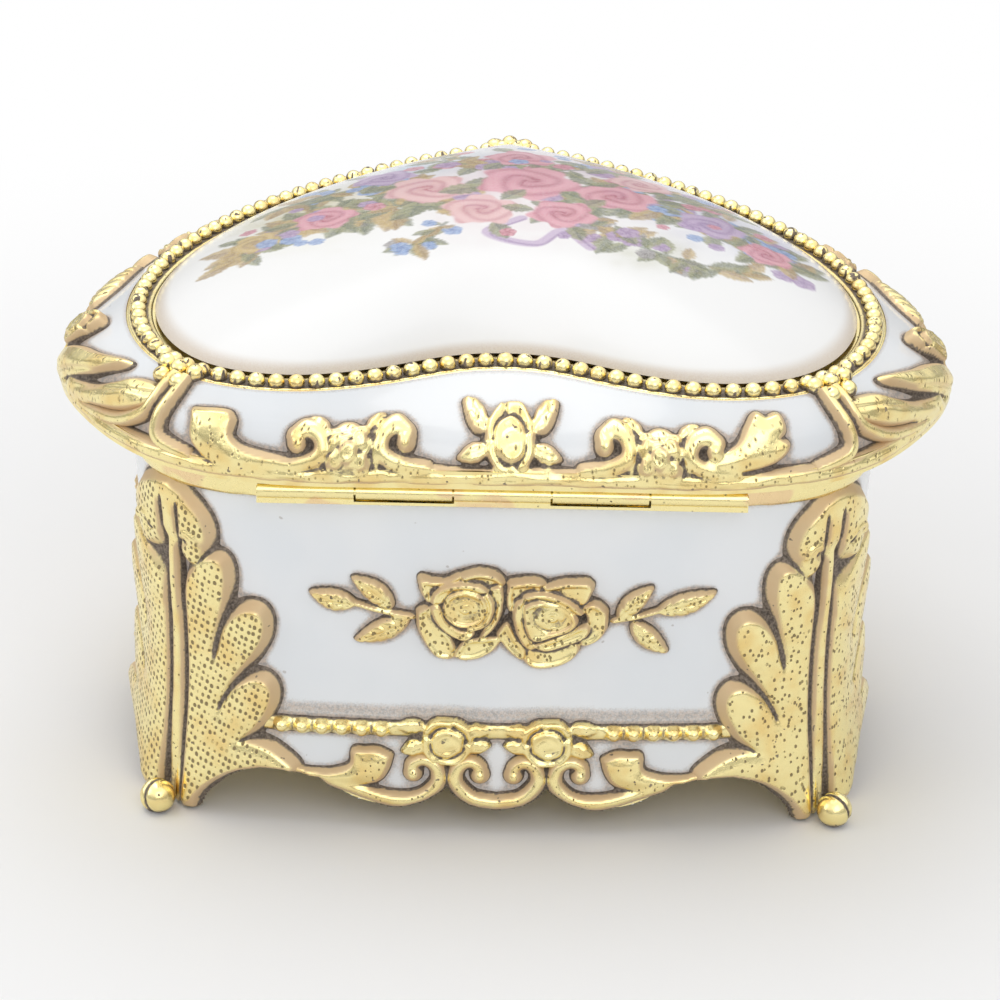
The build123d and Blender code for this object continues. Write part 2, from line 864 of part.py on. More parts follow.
# Corner ribs of the lid, each headed by a cluster of beads
rib_share = (0.885, 0.086)
rib_heading = -58
rib_strand_width = 1.2
rib_strand_place = 0.95
cluster_radius = 1.45
cluster = [(-1.35, 3.9, -0.1), (1.35, 3.9, -0.1), (-2.6, 5.9, -1.1),
           (2.6, 5.9, -1.1), (0.0, 6.1, -1.0), (0.0, 7.8, -2.6)]
rib_corner = (rib_share[0] * ring_width / 2, depth(ring_back + rib_share[1] * (ring_tip - ring_back)))
tip_cluster = [(-1.35, 2.9, -0.3), (1.35, 2.9, -0.3), (0.0, 3.9, -2.3)]
tip_clearance = 0.4
rib_form = skirt_block(rib_relief, 0)


def lid_rib(place, heading, beads):
    """A double rib down one corner of the skirt; heading is the way out of the box in degrees."""
    outward = Vector(cos(radians(heading)), sin(radians(heading)))
    sideways = Vector(-sin(radians(heading)), cos(radians(heading)))
    plane = Plane(origin=place, x_dir=sideways, z_dir=outward)
    with BuildPart() as rib:
        with BuildSketch(plane):
            for side in (-1, 1):
                with Locations((side * rib_strand_place, (rim_top + deck_top) / 2)):
                    Rectangle(rib_strand_width, deck_top - rim_top - 2 * fit_gap)
            with Locations((0, rim_top + 1.6), (0, deck_top - 2.4)):
                Circle(1.6)
        extrude(amount=panel_reach)
        add(rib_form, mode=Mode.INTERSECT)
        with Locations(*[plane.from_local_coords((side, deck_top + rise, out)) for side, out, rise in beads]):
            Sphere(cluster_radius)
        add(skirt_form, mode=Mode.SUBTRACT)
    return rib.part


with BuildPart() as lid_rib_right:
    add(lid_rib(rib_corner, rib_heading, cluster))

with BuildPart() as lid_rib_left:
    mirror(lid_rib_right.part, about=Plane.YZ)

with BuildPart() as lid_rib_front:
    add(lid_rib((0, depth(ring_tip) + tip_clearance), 90, tip_cluster))

# Hinge: a strip leaf on the case, tab leaves inside the lid skirt and a pin through all the knuckles
knuckle_pitch = hinge_length / knuckle_count
knuckle_starts = [-hinge_length / 2 + index * knuckle_pitch for index in range(knuckle_count)]
tab_depth = recess_depth - fit_gap - hinge_depth
pin_hole = pin_radius + running_gap


def knuckles(first):
    """Every other knuckle of the hinge, starting with the given one."""
    with BuildPart() as barrels:
        for start in knuckle_starts[first::2]:
            add(hinge_rod(knuckle_radius, start + knuckle_gap / 2, start + knuckle_pitch - knuckle_gap / 2))
    return barrels.part


with BuildPart() as case_hinge_leaf:
    with BuildSketch(Plane.XY.offset(band_bottom)):
        with Locations((0, (depth(leaf_face) + depth(recess_depth)) / 2)):
            Rectangle(hinge_length, recess_depth - leaf_face)
    extrude(amount=hinge_height - band_bottom)
    add(case_form, mode=Mode.SUBTRACT)
    for start in knuckle_starts[1::2]:
        slot_start = start - knuckle_gap / 2
        slot_end = start + knuckle_pitch + knuckle_gap / 2
        add(hinge_rod(hinge_clearance, slot_start, slot_end), mode=Mode.SUBTRACT)
        with BuildSketch(Plane.XY.offset(hinge_height - fit_gap)):
            with Locations((start + knuckle_pitch / 2, hinge_y + recess_depth / 2)):
                Rectangle(knuckle_pitch + knuckle_gap, recess_depth)
        extrude(amount=fit_gap, mode=Mode.SUBTRACT)
    add(knuckles(0))
    add(hinge_rod(pin_hole, -hinge_length / 2, hinge_length / 2), mode=Mode.SUBTRACT)

with BuildPart() as lid_hinge_leaf:
    add(knuckles(1))
    for start in knuckle_starts[1::2]:
        with BuildSketch(Plane.XY.offset(hinge_height)):
            with Locations((start + knuckle_pitch / 2, hinge_y + tab_depth / 2)):
                Rectangle(knuckle_pitch - knuckle_gap, tab_depth)
        extrude(amount=knuckle_radius)
    with BuildSketch(Plane.XY.offset(hinge_height + knuckle_radius)):
        with Locations((0, hinge_y + tab_depth - lid_leaf_thickness / 2)):
            Rectangle(hinge_length - 2 * knuckle_pitch - knuckle_gap, lid_leaf_thickness)
    extrude(amount=lid_leaf_top - hinge_height - knuckle_radius)
    add(lid_shell.part, mode=Mode.SUBTRACT)
    add(hinge_rod(pin_hole, -hinge_length / 2, hinge_length / 2), mode=Mode.SUBTRACT)

with BuildPart() as hinge_pin:
    add(hinge_rod(pin_radius, -hinge_length / 2, hinge_length / 2))

# Musical movement: an upright spring can and great wheel, a pinned cylinder and a governor wheel that
# both lie along X, and an upright fly beside them


def across(x, y=movement_y, z=axis_height):
    """A plane at a place along X that looks along X, with +Y to its right and +Z up."""
    return Plane(origin=(x, y, z), x_dir=(0, 1, 0), z_dir=(1, 0, 0))


def gear_drawing(teeth, pitch_radius, addendum, dedendum, share, turn):
    """A spur gear with straight-sided teeth that narrow outwards; share is a tooth's part of the pitch."""
    root = pitch_radius - dedendum
    tip = pitch_radius + addendum
    half_root = 1.25 * share * pi * pitch_radius / teeth
    half_tip = 0.45 * half_root
    with BuildSketch() as tooth:
        with BuildLine():
            inner = root * 0.9
            Polyline((inner, -half_root), (tip, -half_tip), (tip, half_tip), (inner, half_root), close=True)
        make_face()
    with BuildSketch() as drawn:
        Circle(root)
        with PolarLocations(0, teeth, start_angle=turn):
            add(tooth.sketch)
    return drawn.sketch


def shaft(radius, start, end, y=movement_y):
    """A round bar along X at the height of the axes."""
    with BuildPart() as bar:
        with BuildSketch(across(start, y)):
            Circle(radius)
        extrude(amount=end - start)
    return bar.part


def gear(drawing, start, width, y=movement_y):
    """A gear drawing placed across X and given its width."""
    with BuildPart() as wheel:
        extrude(to_extrude=across(start, y) * drawing, amount=width)
    return wheel.part


with BuildPart() as bedplate:
    with BuildSketch(Plane.XY.offset(base_top)):
        with Locations((arbor_x + bed_shift_x, movement_y + bed_shift_y)):
            RectangleRounded(bed_length, bed_width, 3)
    extrude(amount=bed_thickness)
    with BuildSketch(Plane.XY.offset(bed_top)):
        with Locations((cylinder_x + cylinder_length / 2, comb_seat_y)):
            Rectangle(cylinder_length, comb_seat_width)
    extrude(amount=comb_seat_top - bed_top)
    with BuildSketch(Plane.XY.offset(base_top)):
        with Locations(arbor_place):
            Circle(arbor_radius + running_gap)
        with Locations(*bed_screw_places):
            Circle(screw_hole)
    extrude(amount=bed_thickness, mode=Mode.SUBTRACT)
    with BuildSketch(Plane.XY.offset(comb_seat_top)):
        with Locations(*comb_screw_places):
            Circle(screw_hole)
    extrude(amount=-comb_screw_length, mode=Mode.SUBTRACT)
    with BuildSketch(Plane.XY.offset(bed_top)):
        with Locations((fly_x, fly_y)):
            Circle(fly_shaft_radius + running_gap)
    extrude(amount=fly_bottom - bed_top, mode=Mode.SUBTRACT)

with BuildPart() as movement_screws:
    add(pan_screws(bed_screw_places, base_height, base_thickness + bed_thickness, True))

with BuildPart() as spring_housing:
    with BuildSketch(Plane.XY.offset(bed_top)):
        with Locations(arbor_place):
            Circle(can_radius)
    extrude(amount=can_height)
    with BuildSketch(Plane.XY.offset(bed_top + can_wall)):
        with Locations(arbor_place):
            Circle(can_radius - can_wall)
    extrude(amount=can_height - 2 * can_wall, mode=Mode.SUBTRACT)
    with BuildSketch(Plane.XY.offset(bed_top)):
        with Locations(arbor_place):
            Circle(arbor_radius + running_gap)
    extrude(amount=can_height, mode=Mode.SUBTRACT)

# The spring is wound out against the wall of its can, as it lies when it has run down. Its turns are
# half circles about two centres, and each is half a pitch smaller than the last.
with BuildPart() as mainspring:
    with BuildSketch(Plane.XY.offset(bed_top + can_wall)):
        with BuildLine(Plane.XY):
            for inset in (0, spring_strip):
                for turn in range(2 * spring_turns):
                    centre_x = arbor_x - spring_pitch / 2 * (turn % 2)
                    radius = can_radius - can_wall - spring_gap - inset - spring_pitch / 2 * turn
                    CenterArc((centre_x, movement_y), radius, 180 * (turn % 2), 180)
            for turn in (0, 2 * spring_turns):
                x = arbor_x + can_radius - can_wall - spring_gap - spring_pitch / 2 * turn
                Line((x, movement_y), (x - spring_strip, movement_y))
        make_face()
    extrude(amount=can_height - 2 * can_wall)

with BuildPart() as great_wheel:
    with BuildSketch(Plane.XY.offset(wheel_bottom)):
        with Locations(arbor_place):
            Circle(wheel_radius)
            Circle(arbor_radius + running_gap, mode=Mode.SUBTRACT)
    extrude(amount=wheel_thickness)
    with BuildSketch(Plane.XY.offset(wheel_top)):
        with Locations(arbor_place):
            with PolarLocations(face_pitch_radius, face_teeth, start_angle=180 / face_teeth):
                Rectangle(face_tooth_length, face_tooth_width)
    extrude(amount=tooth_height, taper=face_tooth_taper)

with BuildPart() as winding_arbor:
    with BuildSketch(Plane.XY.offset(key_bottom + key_wing)):
        with Locations(arbor_place):
            Circle(arbor_radius)
    extrude(amount=wheel_top + fit_gap + collar_height - key_bottom - key_wing)
    with BuildSketch(Plane.XY.offset(wheel_top + fit_gap)):
        with Locations(arbor_place):
            Circle(collar_radius)
    extrude(amount=collar_height)

with BuildPart() as winding_key:
    with BuildSketch(Plane.XY.offset(key_bottom + key_wing - key_seat)):
        with Locations(arbor_place):
            Circle(key_hub_radius)
    extrude(amount=key_hub_length + key_seat)
    with BuildSketch(Plane.XY.offset(key_bottom)):
        with Locations(arbor_place):
            RectangleRounded(key_span, key_thickness, key_thickness * 0.4)
    extrude(amount=key_wing)
    with BuildSketch(Plane.XY.offset(key_bottom + key_wing)):
        with Locations(arbor_place):
            Circle(arbor_radius)
    extrude(amount=key_hub_length, mode=Mode.SUBTRACT)

def music_pin(track, turn):
    """The plane on the cylinder's surface where one pin stands."""
    angle = radians(pin_step * track + 360 / pins_per_track * turn + pin_drift * (track * turn % 5))
    out = Vector(0, cos(angle), sin(angle))
    return Plane(origin=Vector(tine_x[track], movement_y, axis_height) + out * cylinder_radius, z_dir=out)


with BuildPart() as pin_cylinder:
    with BuildSketch(across(cylinder_x)):
        Circle(cylinder_radius)
    extrude(amount=cylinder_length)
    pinion_shape = gear_drawing(pinion_teeth, pinion_radius, pinion_addendum, pinion_dedendum, 0.32, -90)
    drive_shape = gear_drawing(drive_teeth, drive_radius, drive_addendum, drive_dedendum, 0.38, 0)
    add(gear(pinion_shape, mesh_x - pinion_width / 2, pinion_width))
    add(gear(drive_shape, drive_x, gear_width))
    add(shaft(journal_radius, mesh_x - pinion_width / 2, right_bracket_x + bracket_thickness))
    pins = [music_pin(track, turn) for track in range(comb_tines) for turn in range(pins_per_track)]
    with Locations(*pins):
        Cylinder(music_pin_radius, 2 * pin_height)

with BuildPart() as cylinder_brackets:
    for start in (left_bracket_x, right_bracket_x):
        with BuildSketch(across(start)):
            Circle(bracket_radius)
            with Locations((0, (bed_top - axis_height) / 2)):
                Rectangle(2 * bracket_radius, axis_height - bed_top)
            if start == right_bracket_x:
                with Locations((governor_y - movement_y, 0)):
                    Circle(bracket_radius)
                with Locations(((governor_y - movement_y) / 2, (bed_top - axis_height) / 2)):
                    Rectangle(governor_y - movement_y + 2 * bracket_radius, axis_height - bed_top)
                with Locations((governor_y - movement_y, 0)):
                    Circle(journal_radius + running_gap, mode=Mode.SUBTRACT)
            Circle(journal_radius + running_gap, mode=Mode.SUBTRACT)
        extrude(amount=bracket_thickness)

with BuildPart() as comb:
    with BuildSketch(Plane.XY.offset(comb_seat_top)):
        with Locations((cylinder_x + cylinder_length / 2, comb_seat_y)):
            Rectangle(cylinder_length, comb_seat_width)
        for x in tine_x:
            with Locations((x, (comb_front + comb_seat_y) / 2)):
                Rectangle(tine_width, comb_front - comb_seat_y)
        with Locations(*comb_screw_places):
            Circle(screw_hole, mode=Mode.SUBTRACT)
    extrude(amount=comb_thickness)

with BuildPart() as comb_screws:
    add(pan_screws(comb_screw_places, comb_seat_top + comb_thickness, comb_screw_length, False))

with BuildPart() as governor_wheel:
    half_tooth = 180 / governor_pinion_teeth
    pinion_outline = gear_drawing(
        governor_pinion_teeth, governor_pinion_radius, drive_addendum, drive_dedendum, 0.34, 180 + half_tooth
    )
    add(gear(pinion_outline, drive_x, gear_width, governor_y))
    worm_wheel_outline = gear_drawing(worm_wheel_teeth, worm_wheel_radius, 0.2, 0.3, 0.28, 0)
    add(gear(worm_wheel_outline, worm_wheel_x, worm_wheel_width, governor_y))
    add(shaft(journal_radius, drive_x, worm_wheel_x + worm_wheel_width, governor_y))

# The worm is a round bar set off its own axis and twisted; its throw faces away from the wheel's tooth
with BuildPart() as fly:
    with BuildSketch(Plane.XY.offset(fly_bottom)):
        with Locations((fly_x, fly_y)):
            Circle(fly_shaft_radius)
    extrude(amount=fly_top - fly_bottom)
    with BuildSketch(Plane.XY.offset(fly_top - fan_height)):
        with Locations((fly_x, fly_y)):
            Circle(fan_hub_radius)
            Rectangle(2 * fan_radius, fan_thickness)
    extrude(amount=fan_height)
    with BuildSketch(Plane.XY.offset(worm_bottom), mode=Mode.PRIVATE) as worm_section:
        with Locations((fly_x, fly_y + worm_throw)):
            Circle(worm_radius)
    add(Solid.extrude_linear_with_rotation(
        worm_section.sketch.face(), (fly_x, fly_y, worm_bottom), (0, 0, worm_top - worm_bottom),
        360 * worm_turns,
    ))

with BuildPart() as governor_frame:
    for low in (bed_top, frame_top):
        with BuildSketch(Plane.XY.offset(low)):
            with Locations((fly_x, fly_y + frame_reach / 2)):
                Rectangle(frame_width, frame_reach + frame_width)
            with Locations((fly_x, fly_y)):
                Circle(fly_shaft_radius + running_gap, mode=Mode.SUBTRACT)
        extrude(amount=frame_thickness)
    with BuildSketch(Plane.XY.offset(bed_top)):
        with Locations((fly_x, fly_y + frame_reach)):
            Rectangle(frame_width, frame_width)
    extrude(amount=frame_top + frame_thickness - bed_top)

# Start and stop wire: the lid holds it down, and its foot then stands beside the fan
rod_top = pad_bottom - fit_gap
with BuildPart() as stop_rod:
    with BuildSketch(Plane.XY.offset(rod_bottom)):
        with Locations((rod_x, fly_y)):
            Circle(rod_radius)
    extrude(amount=rod_top - rod_bottom)
    with BuildSketch(Plane(origin=(rod_x, fly_y, rod_foot_height), z_dir=(-1, 0, 0))):
        Circle(rod_radius)
    extrude(amount=rod_x - fly_x - fan_radius - rod_foot_gap)

with BuildPart() as rod_guide:
    with BuildSketch(Plane.XY.offset(base_top)):
        with Locations((rod_x, fly_y)):
            Circle(guide_radius)
    extrude(amount=guide_height)
    with BuildSketch(Plane.XY.offset(rod_bottom - guide_clearance)):
        with Locations((rod_x, fly_y)):
            Circle(rod_radius + running_gap)
    extrude(amount=guide_height, mode=Mode.SUBTRACT)

pieces = {
    "case_shell": case_shell,
    "rim_band": rim_band,
    "leg_left": leg_left,
    "leg_right": leg_right,
    "leg_front": leg_front,
    "apron_back": apron_back,
    "apron_left": apron_left,
    "apron_right": apron_right,
    "bead_rail_back": bead_rail_back,
    "bead_rail_left": bead_rail_left,
    "bead_rail_right": bead_rail_right,
    "spray_back": spray_back,
    "spray_left": spray_left,
    "spray_right": spray_right,
    "base_plate": base_plate,
    "base_screws": base_screws,
    "lid_shell": lid_shell,
    "lid_rim": lid_rim,
    "lid_scrolls_back": lid_scrolls_back,
    "lid_scrolls_left": lid_scrolls_left,
    "lid_scrolls_right": lid_scrolls_right,
    "lid_rib_left": lid_rib_left,
    "lid_rib_right": lid_rib_right,
    "lid_rib_front": lid_rib_front,
    "bead_ring": bead_ring,
    "plaque": plaque,
    "lid_pad": lid_pad,
    "lid_mirror": lid_mirror,
    "case_hinge_leaf": case_hinge_leaf,
    "lid_hinge_leaf": lid_hinge_leaf,
    "hinge_pin": hinge_pin,
    "tray_floor": tray_floor,
    "floor_cushion": floor_cushion,
    "wall_lining": wall_lining,
    "bedplate": bedplate,
    "spring_housing": spring_housing,
    "mainspring": mainspring,
    "great_wheel": great_wheel,
    "winding_arbor": winding_arbor,
    "winding_key": winding_key,
    "pin_cylinder": pin_cylinder,
    "cylinder_brackets": cylinder_brackets,
    "comb": comb,
    "comb_screws": comb_screws,
    "governor_wheel": governor_wheel,
    "fly": fly,
    "governor_frame": governor_frame,
    "movement_screws": movement_screws,
    "stop_rod": stop_rod,
    "rod_guide": rod_guide,
}

os.makedirs("parts", exist_ok=True)
for label, piece in pieces.items():
    piece.part.label = label
    export_step(piece.part, f"parts/{label}.step")
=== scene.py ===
import json
import math
import bpy
import numpy as np
from mathutils import Matrix, Vector
from mathutils.bvhtree import BVHTree


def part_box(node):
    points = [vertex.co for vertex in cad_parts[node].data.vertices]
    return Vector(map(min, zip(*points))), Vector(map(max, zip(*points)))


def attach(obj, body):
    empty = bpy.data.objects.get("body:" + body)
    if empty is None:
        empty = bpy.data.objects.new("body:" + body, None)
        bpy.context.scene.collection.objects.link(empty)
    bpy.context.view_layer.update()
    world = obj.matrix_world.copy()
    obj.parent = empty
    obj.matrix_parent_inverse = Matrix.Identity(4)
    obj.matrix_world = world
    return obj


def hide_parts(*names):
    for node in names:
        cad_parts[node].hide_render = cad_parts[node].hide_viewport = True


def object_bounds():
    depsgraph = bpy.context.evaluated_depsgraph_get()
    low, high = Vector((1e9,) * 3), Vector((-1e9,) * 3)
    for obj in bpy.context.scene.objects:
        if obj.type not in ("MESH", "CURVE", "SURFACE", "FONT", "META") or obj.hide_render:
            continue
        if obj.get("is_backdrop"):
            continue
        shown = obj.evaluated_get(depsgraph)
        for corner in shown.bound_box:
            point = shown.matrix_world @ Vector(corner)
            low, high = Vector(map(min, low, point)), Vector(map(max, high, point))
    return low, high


# Heart-shaped footed music box. Lengths in the helpers are millimetres in the row frame.
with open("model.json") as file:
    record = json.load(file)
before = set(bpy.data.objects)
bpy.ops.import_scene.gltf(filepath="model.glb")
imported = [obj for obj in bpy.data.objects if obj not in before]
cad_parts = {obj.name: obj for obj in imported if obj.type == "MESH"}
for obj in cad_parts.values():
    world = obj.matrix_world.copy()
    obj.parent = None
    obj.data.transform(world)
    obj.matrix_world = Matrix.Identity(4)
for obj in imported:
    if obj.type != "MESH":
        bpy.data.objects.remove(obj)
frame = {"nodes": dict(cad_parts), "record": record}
cad_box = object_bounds()
nodes = frame["nodes"]
MM = 0.001
CENTRE = np.array([0.0, -8.5])
FAR = 90.0
BURIED = -0.35
DROPPED = -0.12
ANGLE_COUNT = 1440
LID_LOW, LID_TOP = 55.75, 66.9
RING_HEIGHTS = [67.3, 67.5, 67.7]
RING_Z = RING_HEIGHTS[1]
RING_MID = -1.7
RAIL_Z = 15.4
SKIN_LIFT = 0.07


# Small helpers for arrays
def blur(field, sigma):
    """Gaussian blur of a 2-D array, with sigma in cells along each axis."""
    for axis, amount in enumerate(sigma):
        reach = int(math.ceil(3 * amount))
        if reach < 1:
            continue
        weights = np.exp(-0.5 * (np.arange(-reach, reach + 1) / amount) ** 2)
        weights /= weights.sum()
        pad = [(0, 0), (0, 0)]
        pad[axis] = (reach, reach)
        padded = np.pad(field, pad, mode="edge")
        size = field.shape[axis]
        field = sum(w * np.take(padded, range(k, k + size), axis=axis) for k, w in enumerate(weights))
    return field


def blur_loop(values, sigma):
    """Gaussian blur of a closed loop of values."""
    reach = int(math.ceil(3 * sigma))
    weights = np.exp(-0.5 * (np.arange(-reach, reach + 1) / sigma) ** 2)
    weights /= weights.sum()
    return sum(w * np.roll(values, k - reach, axis=0) for k, w in enumerate(weights))


def smooth(low, high, value):
    """Smoothstep from low to high."""
    share = np.clip((value - low) / (high - low), 0, 1)
    return share * share * (3 - 2 * share)


def noise(x, y, size, seed):
    """Smooth value noise of about 0 to 1 over a plane."""
    lattice = np.random.default_rng(seed).random((64, 64))
    u, v = np.asarray(x) / size, np.asarray(y) / size
    i, j = np.floor(u).astype(int), np.floor(v).astype(int)
    a, b = smooth(0, 1, u - i), smooth(0, 1, v - j)
    corner = lambda p, q: lattice[(i + p) % 64, (j + q) % 64]
    low = corner(0, 0) * (1 - a) + corner(1, 0) * a
    high = corner(0, 1) * (1 - a) + corner(1, 1) * a
    return low * (1 - b) + high * b


def spline(points, count=10):
    """Points on a smooth curve through rows of numbers, all columns alike."""
    p = np.array(points, float)
    p = np.vstack([2 * p[0] - p[1], p, 2 * p[-1] - p[-2]])
    t = np.linspace(0, 1, count, endpoint=False)[:, None]
    parts = []
    for a, b, c, d in zip(p[:-3], p[1:-2], p[2:-1], p[3:]):
        parts.append(0.5 * (2 * b + (c - a) * t + (2 * a - 5 * b + 4 * c - d) * t ** 2
                            + (3 * b - a - 3 * c + d) * t ** 3))
    return np.vstack(parts + [p[-2:-1]])


def places_of(mesh):
    """The places of a mesh's vertices in metres, a row each."""
    places = np.empty(len(mesh.vertices) * 3, np.float32)
    mesh.vertices.foreach_get("co", places)
    return places.reshape(-1, 3)


# The walls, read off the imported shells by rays
def tree_of(node):
    mesh = nodes[node].data
    mesh.calc_loop_triangles()
    corners = np.empty(len(mesh.loop_triangles) * 3, np.int32)
    mesh.loop_triangles.foreach_get("vertices", corners)
    points = places_of(mesh).astype(float) / MM
    return BVHTree.FromPolygons(points.tolist(), corners.reshape(-1, 3).tolist(), all_triangles=True)


def outer_radius(tree, angle, height):
    """Distance from the centre line to the outside of a shell."""
    way = Vector((math.cos(angle), math.sin(angle), 0))
    start = Vector((CENTRE[0], CENTRE[1], height)) + way * FAR
    hit = tree.ray_cast(start, -way)
    return FAR - hit[3] if hit[0] is not None else np.nan


def ray_loops(tree, angles, heights, softness):
    """Plan loops of the outside of a shell at each height, the same on both sides of the middle plane."""
    rays = np.stack([np.cos(angles), np.sin(angles)], 1)
    count = len(angles)
    loops = []
    for height in heights:
        radii = np.array([outer_radius(tree, a, height) for a in angles])
        good = ~np.isnan(radii)
        radii = np.interp(np.arange(count), np.flatnonzero(good), radii[good], period=count)
        radii = (radii + radii[(-np.arange(count)) % count]) / 2
        loops.append(CENTRE + rays * blur_loop(radii, softness)[:, None])
    return loops


def loop_normals(loop):
    side = np.roll(loop, -1, axis=0) - np.roll(loop, 1, axis=0)
    side /= np.linalg.norm(side, axis=1, keepdims=True)
    return np.stack([side[:, 1], -side[:, 0]], 1)


class Wall:
    """A closed wall: a plan loop at each height, found by distance along the loop at a reference height."""

    def __init__(self, angles, heights, loops, reference):
        self.heights = np.array(heights, float)
        self.loops = np.array(loops)
        base = self.loops[int(np.argmin(np.abs(self.heights - reference)))]
        closed = np.vstack([base, base[:1]])
        steps = np.hypot(*np.diff(closed, axis=0).T)
        self.along = np.concatenate([[0], np.cumsum(steps)])
        self.length = self.along[-1]
        self.angles = np.concatenate([angles, [angles[0] + 2 * math.pi]])

    def at_angle(self, degrees):
        return float(np.interp(math.radians(degrees), self.angles, self.along))

    def plan(self, s, z):
        """Plan point of the wall at distances along it and heights."""
        s, z = np.broadcast_arrays(np.asarray(s, float) % self.length, np.asarray(z, float))
        rows = np.interp(z, self.heights, np.arange(len(self.heights)))
        rows = np.clip(rows, 0, len(self.heights) - 1.0001)
        low = rows.astype(int)
        mix = (rows - low)[..., None]
        cols = np.interp(s, self.along, np.arange(len(self.along)))
        left = cols.astype(int)
        lean = (cols - left)[..., None]
        count = self.loops.shape[1]
        pick = lambda r, c: self.loops[r, c % count]
        one = pick(low, left) * (1 - lean) + pick(low, left + 1) * lean
        two = pick(low + 1, left) * (1 - lean) + pick(low + 1, left + 1) * lean
        return one * (1 - mix) + two * mix

    def point(self, s, z, stand):
        """Point off the wall, stood off along its normal."""
        s, z = np.broadcast_arrays(np.asarray(s, float), np.asarray(z, float))
        here = self.plan(s, z)
        side = self.plan(s + 0.3, z) - self.plan(s - 0.3, z)
        high = np.minimum(z + 0.3, self.heights[-1])
        low = np.clip(z - 0.3, self.heights[0], high - 0.2)
        rise = self.plan(s, high) - self.plan(s, low)
        side3 = np.stack([side[..., 0], side[..., 1], np.zeros_like(z)], -1)
        rise3 = np.stack([rise[..., 0], rise[..., 1], high - low], -1)
        normal = np.cross(side3, rise3)
        normal /= np.linalg.norm(normal, axis=-1, keepdims=True)
        at = np.stack([here[..., 0], here[..., 1], z], -1)
        return at + normal * np.asarray(stand)[..., None]


angles = -math.pi / 2 + np.arange(ANGLE_COUNT) * 2 * math.pi / ANGLE_COUNT
case_tree = tree_of("case_shell")
full_heights = np.arange(11.0, 53.1, 1.5)
full_loops = ray_loops(case_tree, angles, full_heights, 3)
corner_angle = math.atan2(-36.8, 47.0)
low_heights = np.arange(1.25, 10.9, 1.25)
corner_swell = [outer_radius(case_tree, corner_angle, z) - outer_radius(case_tree, corner_angle, 11.0)
                for z in low_heights]
low_loops = [full_loops[0] + loop_normals(full_loops[0]) * swell for swell in corner_swell]
case_heights = np.concatenate([low_heights, full_heights])
case_wall = Wall(angles, case_heights, low_loops + full_loops, 24.5)


def bottom_of(wall, tree):
    """The height at which the wall starts, at each angle."""
    tries = np.arange(1.3, 10.6, 0.15)
    found = []
    for index in range(0, ANGLE_COUNT, 2):
        angle = wall.angles[index]
        lowest = tries[-1]
        for z in tries:
            expected = np.hypot(*(wall.plan(wall.along[index], z) - CENTRE))
            if abs(outer_radius(tree, angle, z) - expected) < 1.2:
                lowest = z
                break
        found.append(lowest if lowest > tries[0] else 0.0)
    return wall.along[:ANGLE_COUNT:2], np.array(found)


edge_s, edge_z = bottom_of(case_wall, case_tree)


def edge_at(s):
    return np.interp(np.asarray(s, float) % case_wall.length, edge_s, edge_z, period=case_wall.length)


lid_heights = np.concatenate([np.arange(55.8, 63.9, 0.6), np.arange(64.2, 66.96, 0.25)])
lid_loops = ray_loops(tree_of("lid_shell"), angles, lid_heights, 3)
lid_wall = Wall(angles, lid_heights, lid_loops, 61.8)
ring_loops = ray_loops(tree_of("bead_ring"), angles, RING_HEIGHTS, 2)
ring_wall = Wall(angles, RING_HEIGHTS, ring_loops, RING_Z)


# Panels, seen from outside with the left corner first
corners = {"left": np.array([-47.0, -45.3]), "right": np.array([47.0, -45.3]), "tip": np.array([0.0, 44.5])}
panels = {"back": ("left", "right"), "right": ("right", "tip"), "left": ("tip", "left")}


def panel_of(name):
    start, end = corners[panels[name][0]], corners[panels[name][1]]
    middle, half = (start + end) / 2, np.hypot(*(end - start)) / 2
    return middle, (end - start) / (2 * half), half


def panel_x(name, plan):
    """Place along a panel, from its middle, of plan points."""
    middle, along, _ = panel_of(name)
    return (plan - middle) @ along


# Drawing tools: each gives a height field over a panel, in millimetres off the wall
NONE = -9.0
LEAF_EDGE = 0.35
PETAL_SLOPE = 4.5


def stroke(x, z, points, crown=0.5, slope=3.0):
    """A raised band along a curve; each point holds place, height on the wall, half width and relief."""
    path = spline(points, 8)
    best = np.full(x.shape, NONE)
    for a, b in zip(path[:-1], path[1:]):
        dx, dz = b[0] - a[0], b[1] - a[1]
        long = dx * dx + dz * dz
        if long < 1e-9:
            continue
        t = np.clip(((x - a[0]) * dx + (z - a[1]) * dz) / long, 0, 1)
        d = np.hypot(x - a[0] - t * dx, z - a[1] - t * dz)
        w = np.maximum(a[2] + t * (b[2] - a[2]), 0.05)
        h = a[3] + t * (b[3] - a[3])
        q = np.minimum(d / w, 1)
        top = h * (1 - crown + crown * np.sqrt(1 - q * q))
        best = np.maximum(best, top - slope * np.maximum(d - w, 0))
    return best


